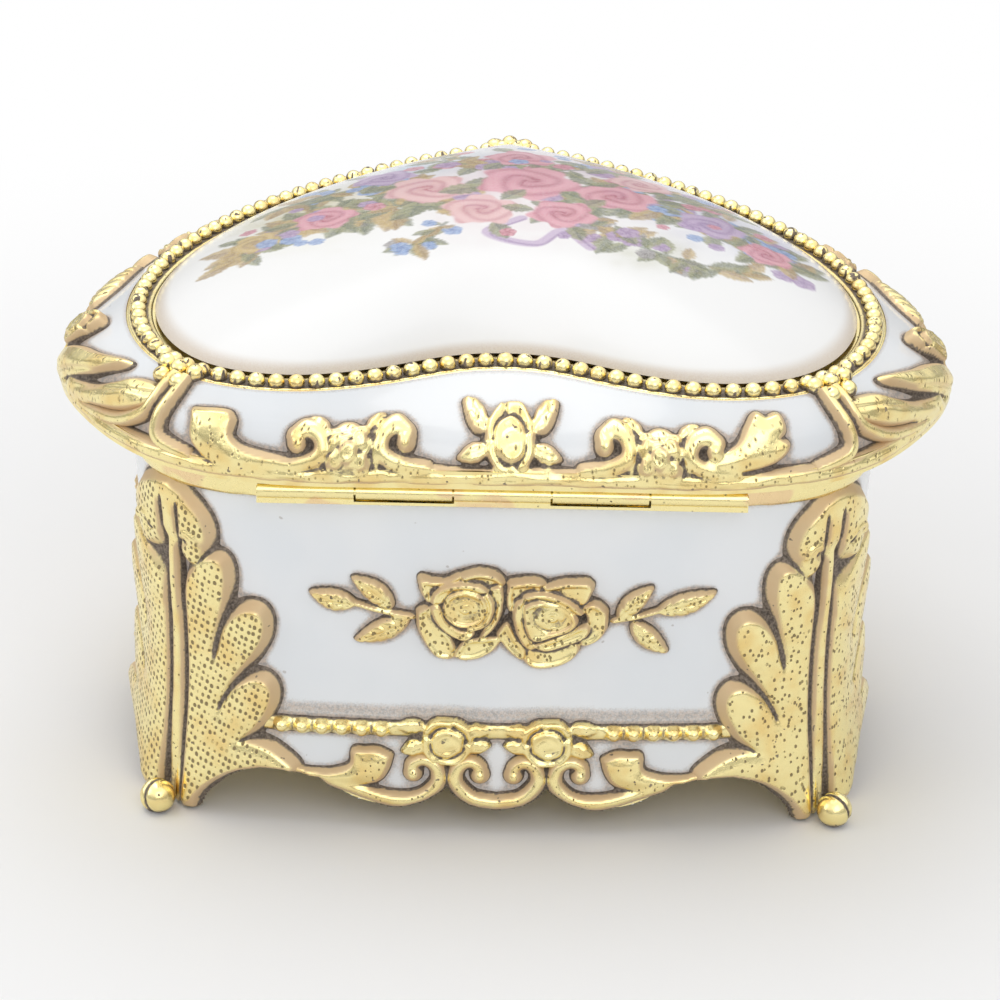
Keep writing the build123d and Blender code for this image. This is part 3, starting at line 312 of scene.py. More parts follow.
def leaf(x, z, place, turn, long, wide, high, bend=0.0, slope=3.0, vein=0.22, ribs=4.5):
    """A pointed leaf with a midrib and veins; place is its stem end and turn its heading in degrees."""
    c, s = math.cos(math.radians(turn)), math.sin(math.radians(turn))
    u = (x - place[0]) * c + (z - place[1]) * s
    v = -(x - place[0]) * s + (z - place[1]) * c
    t = np.clip(u / long, 0, 1)
    v = v - bend * np.sin(math.pi * t)
    half = wide * (np.sin(math.pi * np.clip(t, 0.02, 0.98) ** 0.85)) ** 0.8 + 0.02
    beyond = np.maximum(np.maximum(-u, u - long), 0)
    out = np.hypot(np.maximum(np.abs(v) - half, 0), beyond)
    q = np.clip(np.abs(v) / half, 0, 1)
    top = high * (LEAF_EDGE + (1 - LEAF_EDGE) * np.sqrt(1 - q * q)) * (0.75 + 0.25 * np.sin(math.pi * t))
    top = top - vein * np.exp(-(v / 0.16) ** 2)
    veins = np.cos((t * ribs - 0.55 * np.abs(v) / wide) * 2 * math.pi)
    top = top - 0.6 * vein * smooth(0.55, 1.0, veins) * (q > 0.12)
    return np.where(out > 0, high * LEAF_EDGE * 0.75 - slope * out, top)


def ball(x, z, place, radius, high, slope=3.0, flat=1.0):
    d = np.hypot((x - place[0]) / flat, z - place[1])
    q = np.minimum(d / radius, 1)
    return high * np.sqrt(1 - q * q * 0.8) - slope * np.maximum(d - radius, 0)


def outline_distance(x, z, outline):
    """Distance outside a closed outline, negative inside."""
    points = spline(outline + outline[:1], 4)[:-1]
    best = np.full(x.shape, 1e9)
    inside = np.zeros(x.shape, bool)
    for (ax, az), (bx, bz) in zip(points, np.roll(points, -1, axis=0)):
        dx, dz = bx - ax, bz - az
        t = np.clip(((x - ax) * dx + (z - az) * dz) / max(dx * dx + dz * dz, 1e-9), 0, 1)
        best = np.minimum(best, np.hypot(x - ax - t * dx, z - az - t * dz))
        crosses = (az > z) != (bz > z)
        inside ^= crosses & (x < ax + (z - az) * dx / (dz if abs(dz) > 1e-9 else 1e-9))
    return np.where(inside, -best, best)


def facet(x, z, outline, high, slope=1.15, crown=0.15):
    """A raised face with a drawn outline and sloping sides."""
    d = outline_distance(x, z, outline)
    return np.where(d < 0, high + crown * smooth(0, 1.6, -d), high - slope * d)


def petal(x, z, outline, high, tilt, lip):
    """A rose petal with a rolled lip, hollow inside it; tilt is its rise along x and z."""
    d = outline_distance(x, z, outline)
    middle = np.mean(outline, axis=0)
    lean = tilt[0] * (x - middle[0]) + tilt[1] * (z - middle[1])
    top = high + lean + lip * np.exp(-((d + 0.35) / 0.3) ** 2) - 0.12 * smooth(0.3, 1.2, -d)
    return np.where(d < 0, top, top - PETAL_SLOPE * d)


def moved(outline, place, size, side):
    return [(place[0] + side * size * a, place[1] + size * b) for a, b in outline]


def bloom(x, z, petals, heart, size, high):
    """A rose of drawn petals, the later ones lying higher, round a wound heart."""
    field = np.full(x.shape, NONE)
    for outline, level, tilt in petals:
        shape = petal(x, z, outline, level * high, tilt, 0.13 * high)
        d = outline_distance(x, z, outline)
        trench = 0.32 * high * np.exp(-((d - 0.14) / 0.24) ** 2)
        field = np.where(d < 0, shape, np.where(field > NONE + 1, field - trench, field))
        field = np.maximum(field, np.where(d >= 0, shape - 0.15, NONE))
    r = np.hypot((x - heart[0]) / 1.15, z - heart[1]) / size
    a = np.arctan2(z - heart[1], x - heart[0])
    middle_ring = r - 0.30 - 0.02 * np.sin(2 * a)
    outer_ring = r - 0.47 - 0.03 * np.sin(a + 1)
    rings = 0.55 * np.exp(-((r - 0.13) / 0.045) ** 2)
    rings = rings + 0.5 * np.exp(-(middle_ring / 0.05) ** 2) * (np.cos(a - 2.0) > -0.75)
    rings = rings + 0.45 * np.exp(-(outer_ring / 0.05) ** 2) * (np.cos(a + 0.9) > -0.55)
    wound = high * (0.80 + 0.30 * rings - 0.1 * r)
    return np.where(r < 0.58, np.maximum(wound, field * 0.86), field)


LEFT_ROSE = [
    ([(-11.3, 40.6), (-8.0, 40.2), (-4.9, 41.6), (-5.3, 39.4), (-8.2, 37.3), (-9.9, 36.6), (-10.9, 38.2)],
        0.62, (-0.03, 0.02)),
    ([(-5.4, 41.2), (-3.0, 41.9), (-0.2, 41.2), (0.4, 39.4), (-1.8, 39.2), (-4.9, 40.0)], 0.68,
        (0.0, 0.04)),
    ([(-11.5, 35.2), (-10.0, 35.9), (-8.6, 33.7), (-6.9, 31.2), (-6.0, 27.9), (-8.6, 27.7), (-10.0, 29.3),
        (-11.3, 32.2)], 0.64, (-0.03, 0.0)),
    ([(-6.5, 28.0), (-4.9, 30.6), (-2.4, 31.1), (0.0, 31.2), (-0.6, 29.4), (-2.6, 27.9), (-5.0, 27.4)],
        0.60, (0.0, -0.03)),
    ([(-1.4, 39.5), (0.2, 39.5), (0.2, 35.6), (-1.0, 32.6), (-2.6, 31.2), (-1.8, 33.9), (-1.2, 36.6)], 0.72,
        (0.0, 0.0)),
    ([(-9.6, 36.9), (-8.9, 38.9), (-6.2, 40.1), (-2.8, 40.0), (-1.6, 38.6), (-4.6, 38.9), (-7.3, 38.0),
        (-8.6, 36.4)], 0.86, (0.0, 0.02)),
    ([(-9.7, 36.1), (-8.5, 36.5), (-7.6, 34.2), (-5.6, 32.6), (-3.6, 32.4), (-4.6, 30.9), (-6.8, 31.6),
        (-8.8, 33.6)], 0.84, (0.0, 0.0)),
    ([(-4.2, 32.3), (-1.8, 33.6), (-0.9, 36.4), (-1.5, 38.4), (-2.6, 38.2), (-2.2, 35.9), (-3.2, 33.9),
        (-5.0, 33.3)], 0.88, (0.02, 0.0)),
    ([(-7.9, 36.4), (-7.0, 38.3), (-4.6, 39.0), (-2.3, 38.0), (-1.9, 35.8), (-3.1, 33.8), (-5.4, 33.2),
        (-7.3, 34.4)], 0.96, (0.0, 0.0)),
]
RIGHT_ROSE = [
    ([(1.2, 40.2), (4.4, 40.6), (6.3, 39.9), (4.6, 38.3), (2.6, 37.4), (1.4, 35.6), (0.9, 37.6)], 0.66,
        (-0.03, 0.03)),
    ([(5.9, 39.6), (9.2, 40.4), (12.6, 40.2), (12.4, 38.0), (11.2, 36.3), (9.0, 37.8), (7.0, 38.4)], 0.62,
        (0.03, 0.02)),
    ([(11.4, 36.4), (13.0, 37.0), (14.8, 35.8), (14.8, 32.6), (13.4, 30.7), (11.2, 30.1), (12.2, 32.6),
        (12.3, 34.8)], 0.66, (0.03, 0.0)),
    ([(3.9, 29.7), (6.4, 30.8), (10.9, 30.4), (10.6, 28.2), (8.2, 26.7), (4.9, 26.4), (3.4, 27.9)], 0.62,
        (0.0, -0.03)),
    ([(-0.4, 31.9), (1.0, 33.9), (2.3, 31.4), (3.7, 29.3), (3.2, 27.6), (1.2, 29.2)], 0.60, (-0.03, 0.0)),
    ([(2.6, 37.6), (4.0, 38.7), (7.0, 38.7), (10.2, 37.2), (11.6, 35.4), (9.8, 35.9), (7.2, 37.3),
        (4.4, 37.2)], 0.84, (0.0, 0.02)),
    ([(2.3, 37.4), (3.4, 37.6), (3.3, 34.2), (4.2, 31.6), (5.5, 29.8), (3.9, 29.8), (2.6, 32.0),
        (2.0, 35.0)], 0.86, (0.0, 0.0)),
    ([(4.4, 30.2), (7.6, 31.6), (10.4, 33.2), (12.4, 33.6), (12.0, 31.7), (9.4, 30.4), (6.6, 29.4)], 0.84,
        (0.02, 0.0)),
    ([(3.4, 36.9), (5.2, 37.6), (8.2, 37.0), (10.6, 35.0), (10.2, 33.2), (7.4, 31.9), (4.8, 31.2),
        (3.6, 33.6)], 0.95, (0.0, 0.0)),
]
SMALL_ROSE = [
    ([(-1.0, -0.2), (-0.95, 0.55), (-0.3, 1.0), (0.1, 0.5), (-0.4, -0.1)], 0.70, (0.0, 0.0)),
    ([(-0.2, 1.0), (0.6, 0.95), (1.0, 0.3), (0.5, 0.0), (-0.1, 0.5)], 0.66, (0.0, 0.0)),
    ([(1.0, 0.3), (0.95, -0.5), (0.4, -1.0), (0.0, -0.5), (0.5, 0.1)], 0.72, (0.0, 0.0)),
    ([(0.4, -1.0), (-0.5, -0.95), (-1.0, -0.2), (-0.5, 0.1), (0.0, -0.4)], 0.64, (0.0, 0.0)),
    ([(-0.55, -0.3), (-0.6, 0.35), (0.0, 0.62), (0.55, 0.35), (0.55, -0.35), (0.0, -0.6)], 0.92,
        (0.0, 0.0)),
]


def rose(x, z, place, size, high, side=1):
    """A small open rose."""
    petals = [(moved(outline, place, size, side), level, tilt) for outline, level, tilt in SMALL_ROSE]
    return bloom(x, z, petals, place, size * 0.9, high)


def skirted(field, cell, slope):
    """Give a field with sharp edges sides that slope down to the wall."""
    field = field.copy()
    steps = int(4.0 / (slope * cell)) + 1
    for _ in range(steps):
        for axis in (0, 1):
            for shift in (-1, 1):
                moved = np.roll(field, shift, axis) - slope * cell
                edge = [slice(None), slice(None)]
                edge[axis] = 0 if shift == 1 else -1
                moved[tuple(edge)] = NONE
                field = np.maximum(field, moved)
    return field


def most(*fields):
    return np.maximum.reduce(fields)


# Ornament of the case; e runs in from a corner along a panel and x from the middle of it
LEG_LOBES = [(1.0, 1.4), (1.3, 8.0), (1.7, 16.0), (2.0, 24.0), (2.2, 31.0), (2.9, 36.3), (4.6, 39.8),
    (6.2, 41.2), (7.4, 40.6), (7.7, 37.6), (7.1, 33.4), (6.1, 28.6), (5.7, 26.0), (6.4, 24.3), (7.1, 26.2),
    (8.0, 30.0), (9.6, 32.7), (11.6, 33.7), (12.8, 32.8), (12.9, 30.2), (11.8, 27.4), (9.8, 24.2),
    (7.8, 20.6), (6.5, 17.6), (6.9, 16.2), (8.1, 18.4), (9.7, 20.9), (11.8, 22.3), (13.4, 21.9),
    (13.9, 20.0), (13.1, 17.4), (11.4, 14.6), (9.4, 12.6), (9.6, 11.9), (11.4, 12.1), (13.7, 11.4),
    (15.6, 10.1), (17.0, 8.7), (16.0, 7.9), (12.8, 8.3), (9.4, 7.8), (6.6, 6.0), (4.2, 3.8), (2.2, 1.4)]
LEG_TOP = [(-0.2, 51.6), (1.0, 51.0), (2.5, 49.6), (3.8, 48.2), (4.8, 46.4), (5.1, 44.6), (4.7, 42.4),
    (3.7, 40.3), (2.6, 41.4), (1.4, 43.6), (0.5, 46.0), (0.0, 48.8)]
LEG_BED = [(-0.4, 50.0), (1.4, 48.0), (3.4, 45.0), (4.6, 42.0), (4.0, 38.5), (2.6, 35.0), (1.0, 30.0),
    (-0.4, 30.0)]


def leg_leaf(e, z):
    """The acanthus leaf beside a corner: three lobes and a toe, with a curled leaf over them."""
    lobes = facet(e, z, LEG_LOBES, 2.05, 1.15, 0.2)
    top = facet(e, z, LEG_TOP, 2.0, 1.1, 0.2)
    curl = stroke(e, z, [(1.9, 43.8, 0.35, 2.3), (2.7, 45.0, 0.5, 2.6), (3.8, 44.6, 0.6, 2.7),
        (4.3, 43.4, 0.55, 2.6)], crown=0.5, slope=4)
    hole = 1.0 * np.exp(-(((e - 2.5) / 0.4) ** 2 + ((z - 43.2) / 0.55) ** 2))
    bed = facet(e, z, LEG_BED, 0.5, 1.5, 0.0)
    return np.maximum(most(top - hole, lobes, bed), curl)


def spine(d, z):
    """The rounded corner ridge with a groove at each side; d is the distance from the corner."""
    fade = smooth(51.0, 40.0, z)
    reach = np.interp(z, [0, 3, 8, 20, 36, 50], [0.2, 0.9, 1.9, 2.4, 2.2, 1.2])
    ridge = reach * np.sqrt(np.clip(1 - (d / 1.15) ** 2, 0, 1))
    return np.where(fade > 0.02, ridge * (0.45 + 0.55 * fade), 0) - 0.02


def apron(x, z, half):
    """Scrolls along the lower edge of a panel."""
    fields = []
    for side in (-1, 1):
        m = lambda rows: [(side * a, b, c, d) for a, b, c, d in rows]
        outer = m([(half - 17.5, 9.0, 0.45, 1.0), (28.5, 8.5, 0.65, 1.3), (21.5, 6.5, 0.95, 1.6),
            (15.2, 4.8, 1.1, 1.8), (10.9, 5.2, 1.15, 1.85), (8.4, 7.6, 1.15, 1.85), (8.7, 10.0, 1.1, 1.8),
            (10.5, 11.0, 1.0, 1.7), (12.1, 10.2, 0.95, 1.7), (12.2, 9.0, 1.0, 1.7)])
        inner = m([(0.0, 4.7, 1.05, 1.8), (3.6, 5.4, 1.1, 1.85), (5.9, 7.8, 1.15, 1.85),
            (5.5, 10.0, 1.1, 1.8), (3.9, 10.9, 1.0, 1.7), (2.5, 10.1, 0.95, 1.7), (2.3, 9.0, 1.0, 1.7)])
        fields.append(stroke(x, z, outer, crown=0.6, slope=2.4))
        fields.append(stroke(x, z, inner, crown=0.6, slope=2.4))
        fields.append(ball(x, z, (side * 12.0, 8.8), 1.25, 2.0, 2.4))
        fields.append(ball(x, z, (side * 2.4, 8.8), 1.25, 2.0, 2.4))
        bud = [(15.4, 11.3), (17.2, 12.1), (19.0, 12.0), (20.4, 11.9), (20.6, 10.2), (21.4, 9.2),
            (24.0, 8.4), (28.0, 8.2), (24.0, 7.2), (20.0, 7.0), (17.2, 7.6), (16.0, 9.2)]
        fields.append(facet(x, z, [(side * a, b) for a, b in bud], 1.55, 2.0, 0.3))
    return most(*fields)


def rail(x, z, half):
    """Bead rail, its small leaves and the two small roses."""
    end = half - 11.5
    ledge = np.where(np.abs(x) < end, 0.7 * np.sqrt(np.clip(1 - ((z - RAIL_Z) / 1.35) ** 2, 0, 1)),
        -3 * (np.abs(x) - end))
    fields = [np.where(np.abs(z - RAIL_Z) < 1.35, ledge, -2.0 * (np.abs(z - RAIL_Z) - 1.35))]
    start, pitch = 16.6, 2.85
    for k in range(int((end - start) / pitch)):
        for side in (-1, 1):
            fields.append(ball(x, z, (side * (start + k * pitch), 15.3), 1.15, 1.95, 3.2))
    for side in (-1, 1):
        for a, b, turn, long, wide in [(10.2, 16.2, -4, 4.4, 0.95), (10.0, 13.4, -22, 4.2, 1.15),
                (4.6, 15.6, 180, 3.6, 0.95), (4.7, 13.0, 176, 3.9, 1.05)]:
            turn = turn if side > 0 else 180 - turn
            fields.append(leaf(x, z, (side * a, b), turn, long, 1.15 * wide, 1.6, vein=0.5, ribs=3,
                slope=2.6))
        fields.append(rose(x, z, (side * 7.1, 13.8), 3.5, 2.3, side))
    return most(*fields)


SPRIGS = [
    [(-12.3, 33.9), (-16.5, 34.6), (-21.0, 35.9)],
    [(16.0, 33.8), (19.5, 34.5), (24.0, 36.0)],
]
SPRAY_LEAVES = [
    (-20.2, 35.6, 166, 6.9, 1.7, 0.3), (-15.0, 35.2, 141, 7.6, 1.65, -0.3),
    (-12.6, 33.8, 208, 9.0, 1.75, 0.3), (22.0, 35.3, 20, 9.0, 1.7, -0.3),
    (16.6, 34.1, 47, 7.2, 1.5, 0.2), (18.6, 33.6, -44, 7.4, 1.6, -0.3),
]


def spray(x, z):
    """Two open roses with a leafy sprig at each side."""
    fields = [bloom(x, z, LEFT_ROSE, (-4.9, 36.2), 4.2, 2.3),
        bloom(x, z, RIGHT_ROSE, (7.3, 35.1), 4.2, 2.35)]
    for stem in SPRIGS:
        fields.append(stroke(x, z, [(a, b, 0.42, 1.15) for a, b in stem], slope=2.6))
    for a, b, turn, long, wide, bend in SPRAY_LEAVES:
        fields.append(leaf(x, z, (a, b), turn, long, wide, 1.6, bend=bend, vein=0.45, ribs=5, slope=2.4))
    return most(*fields)


# Ornament of the lid; x runs from the middle of a panel and z is the height
def scroll_c(x, z, place, side):
    """A scroll that leaves the rail, rises and curls back to a ball; side points to its open end."""
    m = [(place + side * a, b, c, d) for a, b, c, d in [(5.0, 58.3, 0.8, 1.7), (1.2, 58.9, 1.05, 2.1),
        (-1.3, 60.1, 1.15, 2.3), (-1.1, 62.0, 1.1, 2.2), (0.6, 62.8, 1.05, 2.1), (2.2, 62.0, 1.0, 2.1)]]
    return np.maximum(stroke(x, z, m, crown=0.5, slope=2.2),
        ball(x, z, (place + side * 1.8, 61.3), 1.3, 2.4, 2.2))


def lid_bud(x, z, place):
    """A round rosebud on the rim with a small grooved leaf at each side."""
    field = ball(x, z, (place, 60.2), 3.1, 2.4, 2.2, flat=1.05)
    for k, (a, b, size) in enumerate([(-1.5, 61.2, 1.5), (1.5, 61.3, 1.5), (-1.6, 59.4, 1.4),
            (1.6, 59.3, 1.4), (0.0, 60.3, 1.7)]):
        shape = rose(x, z, (place + a, b), size, 2.3 + 0.12 * k, 1 if k % 2 else -1)
        shape = shape + (0.6 if k == 4 else 0.35)
        field = np.where(shape > 1.2, np.maximum(shape, field * 0.9), field)
    for side in (-1, 1):
        blade = leaf(x, z, (place + side * 2.3, 61.7), 90 - side * 48, 3.7, 1.15, 1.7, vein=0.55, ribs=2.5,
            slope=2.4)
        field = np.maximum(field, blade)
        field = np.maximum(field, stroke(x, z, [(place + side * 3.9, 58.4, 0.6, 1.6),
            (place + side * 3.6, 60.2, 0.65, 1.9), (place + side * 3.0, 61.7, 0.5, 1.6)], slope=2.4))
    return field


def lid_flower(x, z, place):
    """A flat flower with four pointed leaves."""
    field = np.maximum(ball(x, z, (place, 61.2), 2.8, 1.5, 2.2, flat=1.35),
        rose(x, z, (place, 61.2), 3.2, 2.2))
    for side in (-1, 1):
        for turn, rise in ((34, 1.1), (-14, -0.6)):
            turn = turn if side > 0 else 180 - turn
            blade = leaf(x, z, (place + side * 2.9, 61.2 + rise), turn, 4.6, 1.2, 1.6, vein=0.5, ribs=3,
                slope=2.4)
            field = np.maximum(field, blade)
    return field


FLAG = [(-42.5, 63.5), (-37.6, 63.8), (-37.6, 61.6), (-36.0, 60.2), (-33.0, 59.5), (-28.5, 58.9),
    (-33.0, 57.9), (-39.0, 57.9), (-42.4, 60.2)]
HORN = [(33.3, 63.6), (34.4, 65.0), (35.8, 64.5), (37.4, 64.8), (38.2, 63.4), (37.4, 62.4), (38.8, 61.6),
    (37.6, 60.2), (34.5, 59.2), (30.0, 58.8), (25.5, 58.9), (27.5, 60.0), (30.0, 60.9), (32.2, 62.0)]
CORNER_LEAVES = [
    [(35.6, 58.6), (37.0, 60.9), (39.5, 62.4), (42.0, 63.3), (45.0, 64.8), (44.5, 63.0), (43.6, 61.6),
        (42.0, 60.2), (40.4, 59.0), (38.6, 57.8)],
    [(40.6, 57.6), (41.6, 59.2), (44.0, 60.0), (46.2, 61.0), (47.6, 62.8), (48.2, 64.3), (49.9, 64.4),
        (50.3, 62.6), (49.4, 60.8), (47.2, 59.4), (44.4, 58.0), (42.0, 57.2)],
]


def corner_leaf(x, z, outline, side):
    """One broad pointed lobe of the acanthus beside a corner, with a crease down its middle."""
    blade = facet(x, z, [(side * a, b) for a, b in outline], 1.8, 2.0, 0.6)
    start, end = outline[-1], outline[len(outline) // 2]
    crease = stroke(x, z, [(side * start[0], start[1] + 0.8, 0.2, 1),
        (side * end[0], end[1] - 0.5, 0.2, 1)], slope=3)
    return blade - 0.35 * np.clip(crease, 0, 1) * (blade > 1.5)


def rail_rim(x, z, corner):
    """The rounded rail on the lid's rim, with drawn grooves; corner is the distance to its nearer end."""
    tall = 1.5 + 0.1 * np.sin(x / 2.7)
    middle = LID_LOW + tall
    calm = smooth(0.3, 2.5, corner)
    q = np.clip(np.abs(z - middle) / tall, 0, 1)
    body = 1.9 * np.sqrt(1 - q ** 2.4) + 0.28 * calm * (noise(x, z * 2.5, 2.3, 5) - 0.5)
    for share, wander, depth in ((0.42, 0.15, 0.45), (-0.05, 0.12, 0.35), (-0.45, 0.1, 0.4)):
        line = middle + share * tall + wander * np.sin(x / 3.1 + 4 * share)
        broken = smooth(0.25, 0.5, noise(x, z, 3.0, 9 + int(10 * share)))
        body = body - calm * depth * broken * np.exp(-((z - line) / 0.17) ** 2)
    return np.where(np.abs(z - middle) < tall, body, -3.0 * (np.abs(z - middle) - tall))


def lid_panel(name, x, z, corner):
    """All that lies on one side of the lid; corner is the distance to the nearer end of that side."""
    fields = []
    if name == "back":
        fields += [lid_bud(x, z, place) for place in (-21.4, 21.6)]
        fields.append(lid_flower(x, z, 0.9))
        for place, side in ((-26.4, -1), (-15.4, 1), (15.9, -1), (27.2, 1)):
            fields.append(scroll_c(x, z, place, side))
        fields += [facet(x, z, FLAG, 1.7, 2.0, 0.35), facet(x, z, HORN, 1.7, 2.0, 0.35)]
    else:
        fields.append(lid_flower(x, z, 0.0))
        for side in (-1, 1):
            fields.append(scroll_c(x, z, side * 9.0, -side))
            fields.append(leaf(x, z, (side * 28.0, 63.4), 174 if side > 0 else 6, 14.0, 1.9, 1.8,
                bend=0.6 * side, vein=0.4, ribs=7, slope=2.2))
            fields.append(leaf(x, z, (side * 25.0, 59.2), 155 if side > 0 else 25, 8.0, 1.6, 1.8,
                bend=-0.5 * side, vein=0.4, ribs=4, slope=2.2))
            fields.append(rose(x, z, (side * 34.2, 62.9), 2.3, 2.5, side))
            fields.append(stroke(x, z, [(side * 29.5, 57.6, 0.7, 1.7), (side * 31.5, 60.6, 0.75, 1.9),
                (side * 34.2, 62.6, 0.6, 1.8)], slope=2.4))
            fields += [corner_leaf(x, z, outline, side) for outline in CORNER_LEAVES]
    ornament = np.where(corner > 0, most(*fields), NONE)
    ornament = np.where(corner < 1.5, ornament - 3.0 * (1.5 - corner), ornament)
    return np.maximum(rail_rim(x, z, corner), ornament)


STRAND_CROWN, STRAND_SLOPE = 0.6, 2.6


def stroke3(points, path):
    """A raised band on a surface along a path; each path row holds a point, a half width and a relief."""
    rows = spline(path, 6)
    best = np.full(points.shape[:-1], NONE)
    for a, b in zip(rows[:-1], rows[1:]):
        line = b[:3] - a[:3]
        t = np.clip((points - a[:3]) @ line / max(line @ line, 1e-9), 0, 1)
        d = np.linalg.norm(points - a[:3] - t[..., None] * line, axis=-1)
        w, h = a[3] + t * (b[3] - a[3]), a[4] + t * (b[4] - a[4])
        q = np.minimum(d / w, 1)
        top = h * (1 - STRAND_CROWN + STRAND_CROWN * np.sqrt(1 - q * q))
        best = np.maximum(best, top - STRAND_SLOPE * np.maximum(d - w, 0))
    return best


# Meshes
def material_of(obj, made):
    obj.data.materials.clear()
    obj.data.materials.append(made)


def fitted(obj, made, body, node=None):
    """Gives a piece its material and body, and hides the node it stands for where it has one."""
    material_of(obj, made)
    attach(obj, body)
    if node:
        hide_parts(node)


def new_mesh(name, points, faces, layers=None, uv=None, colour=None):
    """A smooth mesh from points in millimetres, quads or triangles, and point attributes."""
    used = np.zeros(len(points), bool)
    used[faces.ravel()] = True
    index = np.cumsum(used) - 1
    points, faces = points[used], index[faces]
    mesh = bpy.data.meshes.new(name)
    mesh.vertices.add(len(points))
    mesh.vertices.foreach_set("co", (points * MM).astype(np.float32).ravel())
    width = faces.shape[1]
    mesh.loops.add(faces.size)
    mesh.loops.foreach_set("vertex_index", faces.astype(np.int32).ravel())
    mesh.polygons.add(len(faces))
    mesh.polygons.foreach_set("loop_start", np.arange(0, faces.size, width, dtype=np.int32))
    mesh.update(calc_edges=True)
    mesh.polygons.foreach_set("use_smooth", np.ones(len(faces), bool))
    for key, values in (layers or {}).items():
        attribute = mesh.attributes.new(key, "FLOAT", "POINT")
        attribute.data.foreach_set("value", values[used].astype(np.float32))
    if uv is not None:
        layer = mesh.uv_layers.new(name="UVMap")
        layer.data.foreach_set("uv", (uv[used][faces.ravel()] * MM * 10).astype(np.float32).ravel())
    if colour is not None:
        attribute = mesh.color_attributes.new("paint", "FLOAT_COLOR", "POINT")
        opaque = np.column_stack([colour[used], np.ones(used.sum())])
        attribute.data.foreach_set("color", opaque.astype(np.float32).ravel())
    obj = bpy.data.objects.new(name, mesh)
    bpy.context.scene.collection.objects.link(obj)
    return obj


def grid_faces(rows, cols, keep=None, closed=False):
    """Quads of a grid; keep marks the points that matter, and closed joins the last row to the first."""
    i, j = np.meshgrid(np.arange(rows if closed else rows - 1), np.arange(cols - 1), indexing="ij")
    k = (i + 1) % rows
    quads = np.stack([i * cols + j, k * cols + j, k * cols + j + 1, i * cols + j + 1], -1).reshape(-1, 4)
    if keep is not None:
        quads = quads[keep.ravel()[quads].any(axis=1)]
    return quads


def cast_piece(name, wall, s, z, field, cell, pit, body, node, made):
    """A cast ornament on a wall from its height field, with its edges sunk into the wall."""
    s2, z2 = np.broadcast_arrays(s, z)
    grain = noise(s2, z2, 1.6, 11) * 0.07 + noise(s2, z2, 0.6, 12) * 0.04 - 0.055
    lifted = np.where(field > 0.25, field + grain, field)
    lifted = blur(np.clip(lifted, BURIED - 0.4, None), (0.8, 0.8))
    raised = np.maximum(lifted, 0)
    hollow = np.clip((blur(raised, (0.7 / cell, 0.7 / cell)) - raised) / 0.36, 0, 1)
    broad = np.clip((blur(raised, (1.9 / cell, 1.9 / cell)) - raised) / 0.7, 0, 1)
    hollow = np.maximum(hollow, broad * (lifted < 1.7))
    low = smooth(0.8, 0.1, lifted)
    steep = np.hypot(*np.gradient(blur(lifted, (1.0, 1.0)), cell)) * (lifted > 0.1)
    # Painted reflection: steep slopes of the relief are marked so the gold there takes a duller tan.
    side = smooth(0.5, 0.95, steep) * (np.max(pit) > 0.01)
    points = wall.point(s2, z2, np.maximum(lifted, BURIED))
    faces = grid_faces(*s2.shape, keep=lifted > DROPPED)
    layers = {"hollow": np.maximum(hollow, 0.9 * low).ravel(),
        "pit": np.broadcast_to(pit, s2.shape).ravel(), "side": side.ravel()}
    obj = new_mesh(name, points.reshape(-1, 3), faces, layers, np.stack([s2.ravel(), z2.ravel()], 1))
    fitted(obj, made, body, node)
    return obj


# Materials
def shader(name, colour, metal=0.0, rough=0.4, **more):
    made = bpy.data.materials.new(name)
    made.use_nodes = True
    made.diffuse_color = (*colour, 1)
    bsdf = made.node_tree.nodes["Principled BSDF"]
    bsdf.inputs["Base Color"].default_value = (*colour, 1)
    bsdf.inputs["Metallic"].default_value = metal
    bsdf.inputs["Roughness"].default_value = rough
    for key, value in more.items():
        bsdf.inputs[key.replace("_", " ")].default_value = value
    return made, made.node_tree, bsdf


def add_node(tree, kind, values=(), **settings):
    made = tree.nodes.new(kind)
    for key, value in settings.items():
        setattr(made, key, value)
    for key, value in dict(values).items():
        if isinstance(value, bpy.types.NodeSocket):
            tree.links.new(value, made.inputs[key])
        else:
            made.inputs[key].default_value = value
    return made


def math_node(tree, kind, a, b):
    return add_node(tree, "ShaderNodeMath", {0: a, 1: b}, operation=kind).outputs[0]


def times(tree, a, b):
    return math_node(tree, "MULTIPLY", a, b)


def plus(tree, a, b):
    return math_node(tree, "ADD", a, b)


def minus(tree, a, b):
    return math_node(tree, "SUBTRACT", a, b)


def larger(tree, a, b):
    return math_node(tree, "MAXIMUM", a, b)


def ramp(tree, value, low, high, out_low=0.0, out_high=1.0):
    made = add_node(tree, "ShaderNodeMapRange", {"Value": value, "From Min": low, "From Max": high,
        "To Min": out_low, "To Max": out_high}, interpolation_type="SMOOTHSTEP")
    return made.outputs[0]


def mix(tree, share, a, b):
    made = add_node(tree, "ShaderNodeMix", data_type="RGBA")
    for key, value in ((0, share), (6, a), (7, b)):
        if isinstance(value, bpy.types.NodeSocket):
            tree.links.new(value, made.inputs[key])
        elif key == 0:
            made.inputs[0].default_value = value
        else:
            made.inputs[key].default_value = (*value, 1)
    return made.outputs[2]


def place(tree, scale):
    """Object coordinates in millimetres, times a scale."""
    where = add_node(tree, "ShaderNodeTexCoord").outputs["Object"]
    return add_node(tree, "ShaderNodeVectorMath", {0: where, 1: (1000 * scale,) * 3},
        operation="MULTIPLY").outputs[0]


def speck(tree, scale, detail=2.0, rough=0.5, vector=None):
    return add_node(tree, "ShaderNodeTexNoise", {"Vector": vector or place(tree, 1.0), "Scale": scale,
        "Detail": detail, "Roughness": rough}).outputs[0]


def bump(tree, bsdf, height, distance, strength=1.0):
    made = add_node(tree, "ShaderNodeBump", {"Height": height, "Distance": distance * MM,
        "Strength": strength})
    tree.links.new(made.outputs[0], bsdf.inputs["Normal"])


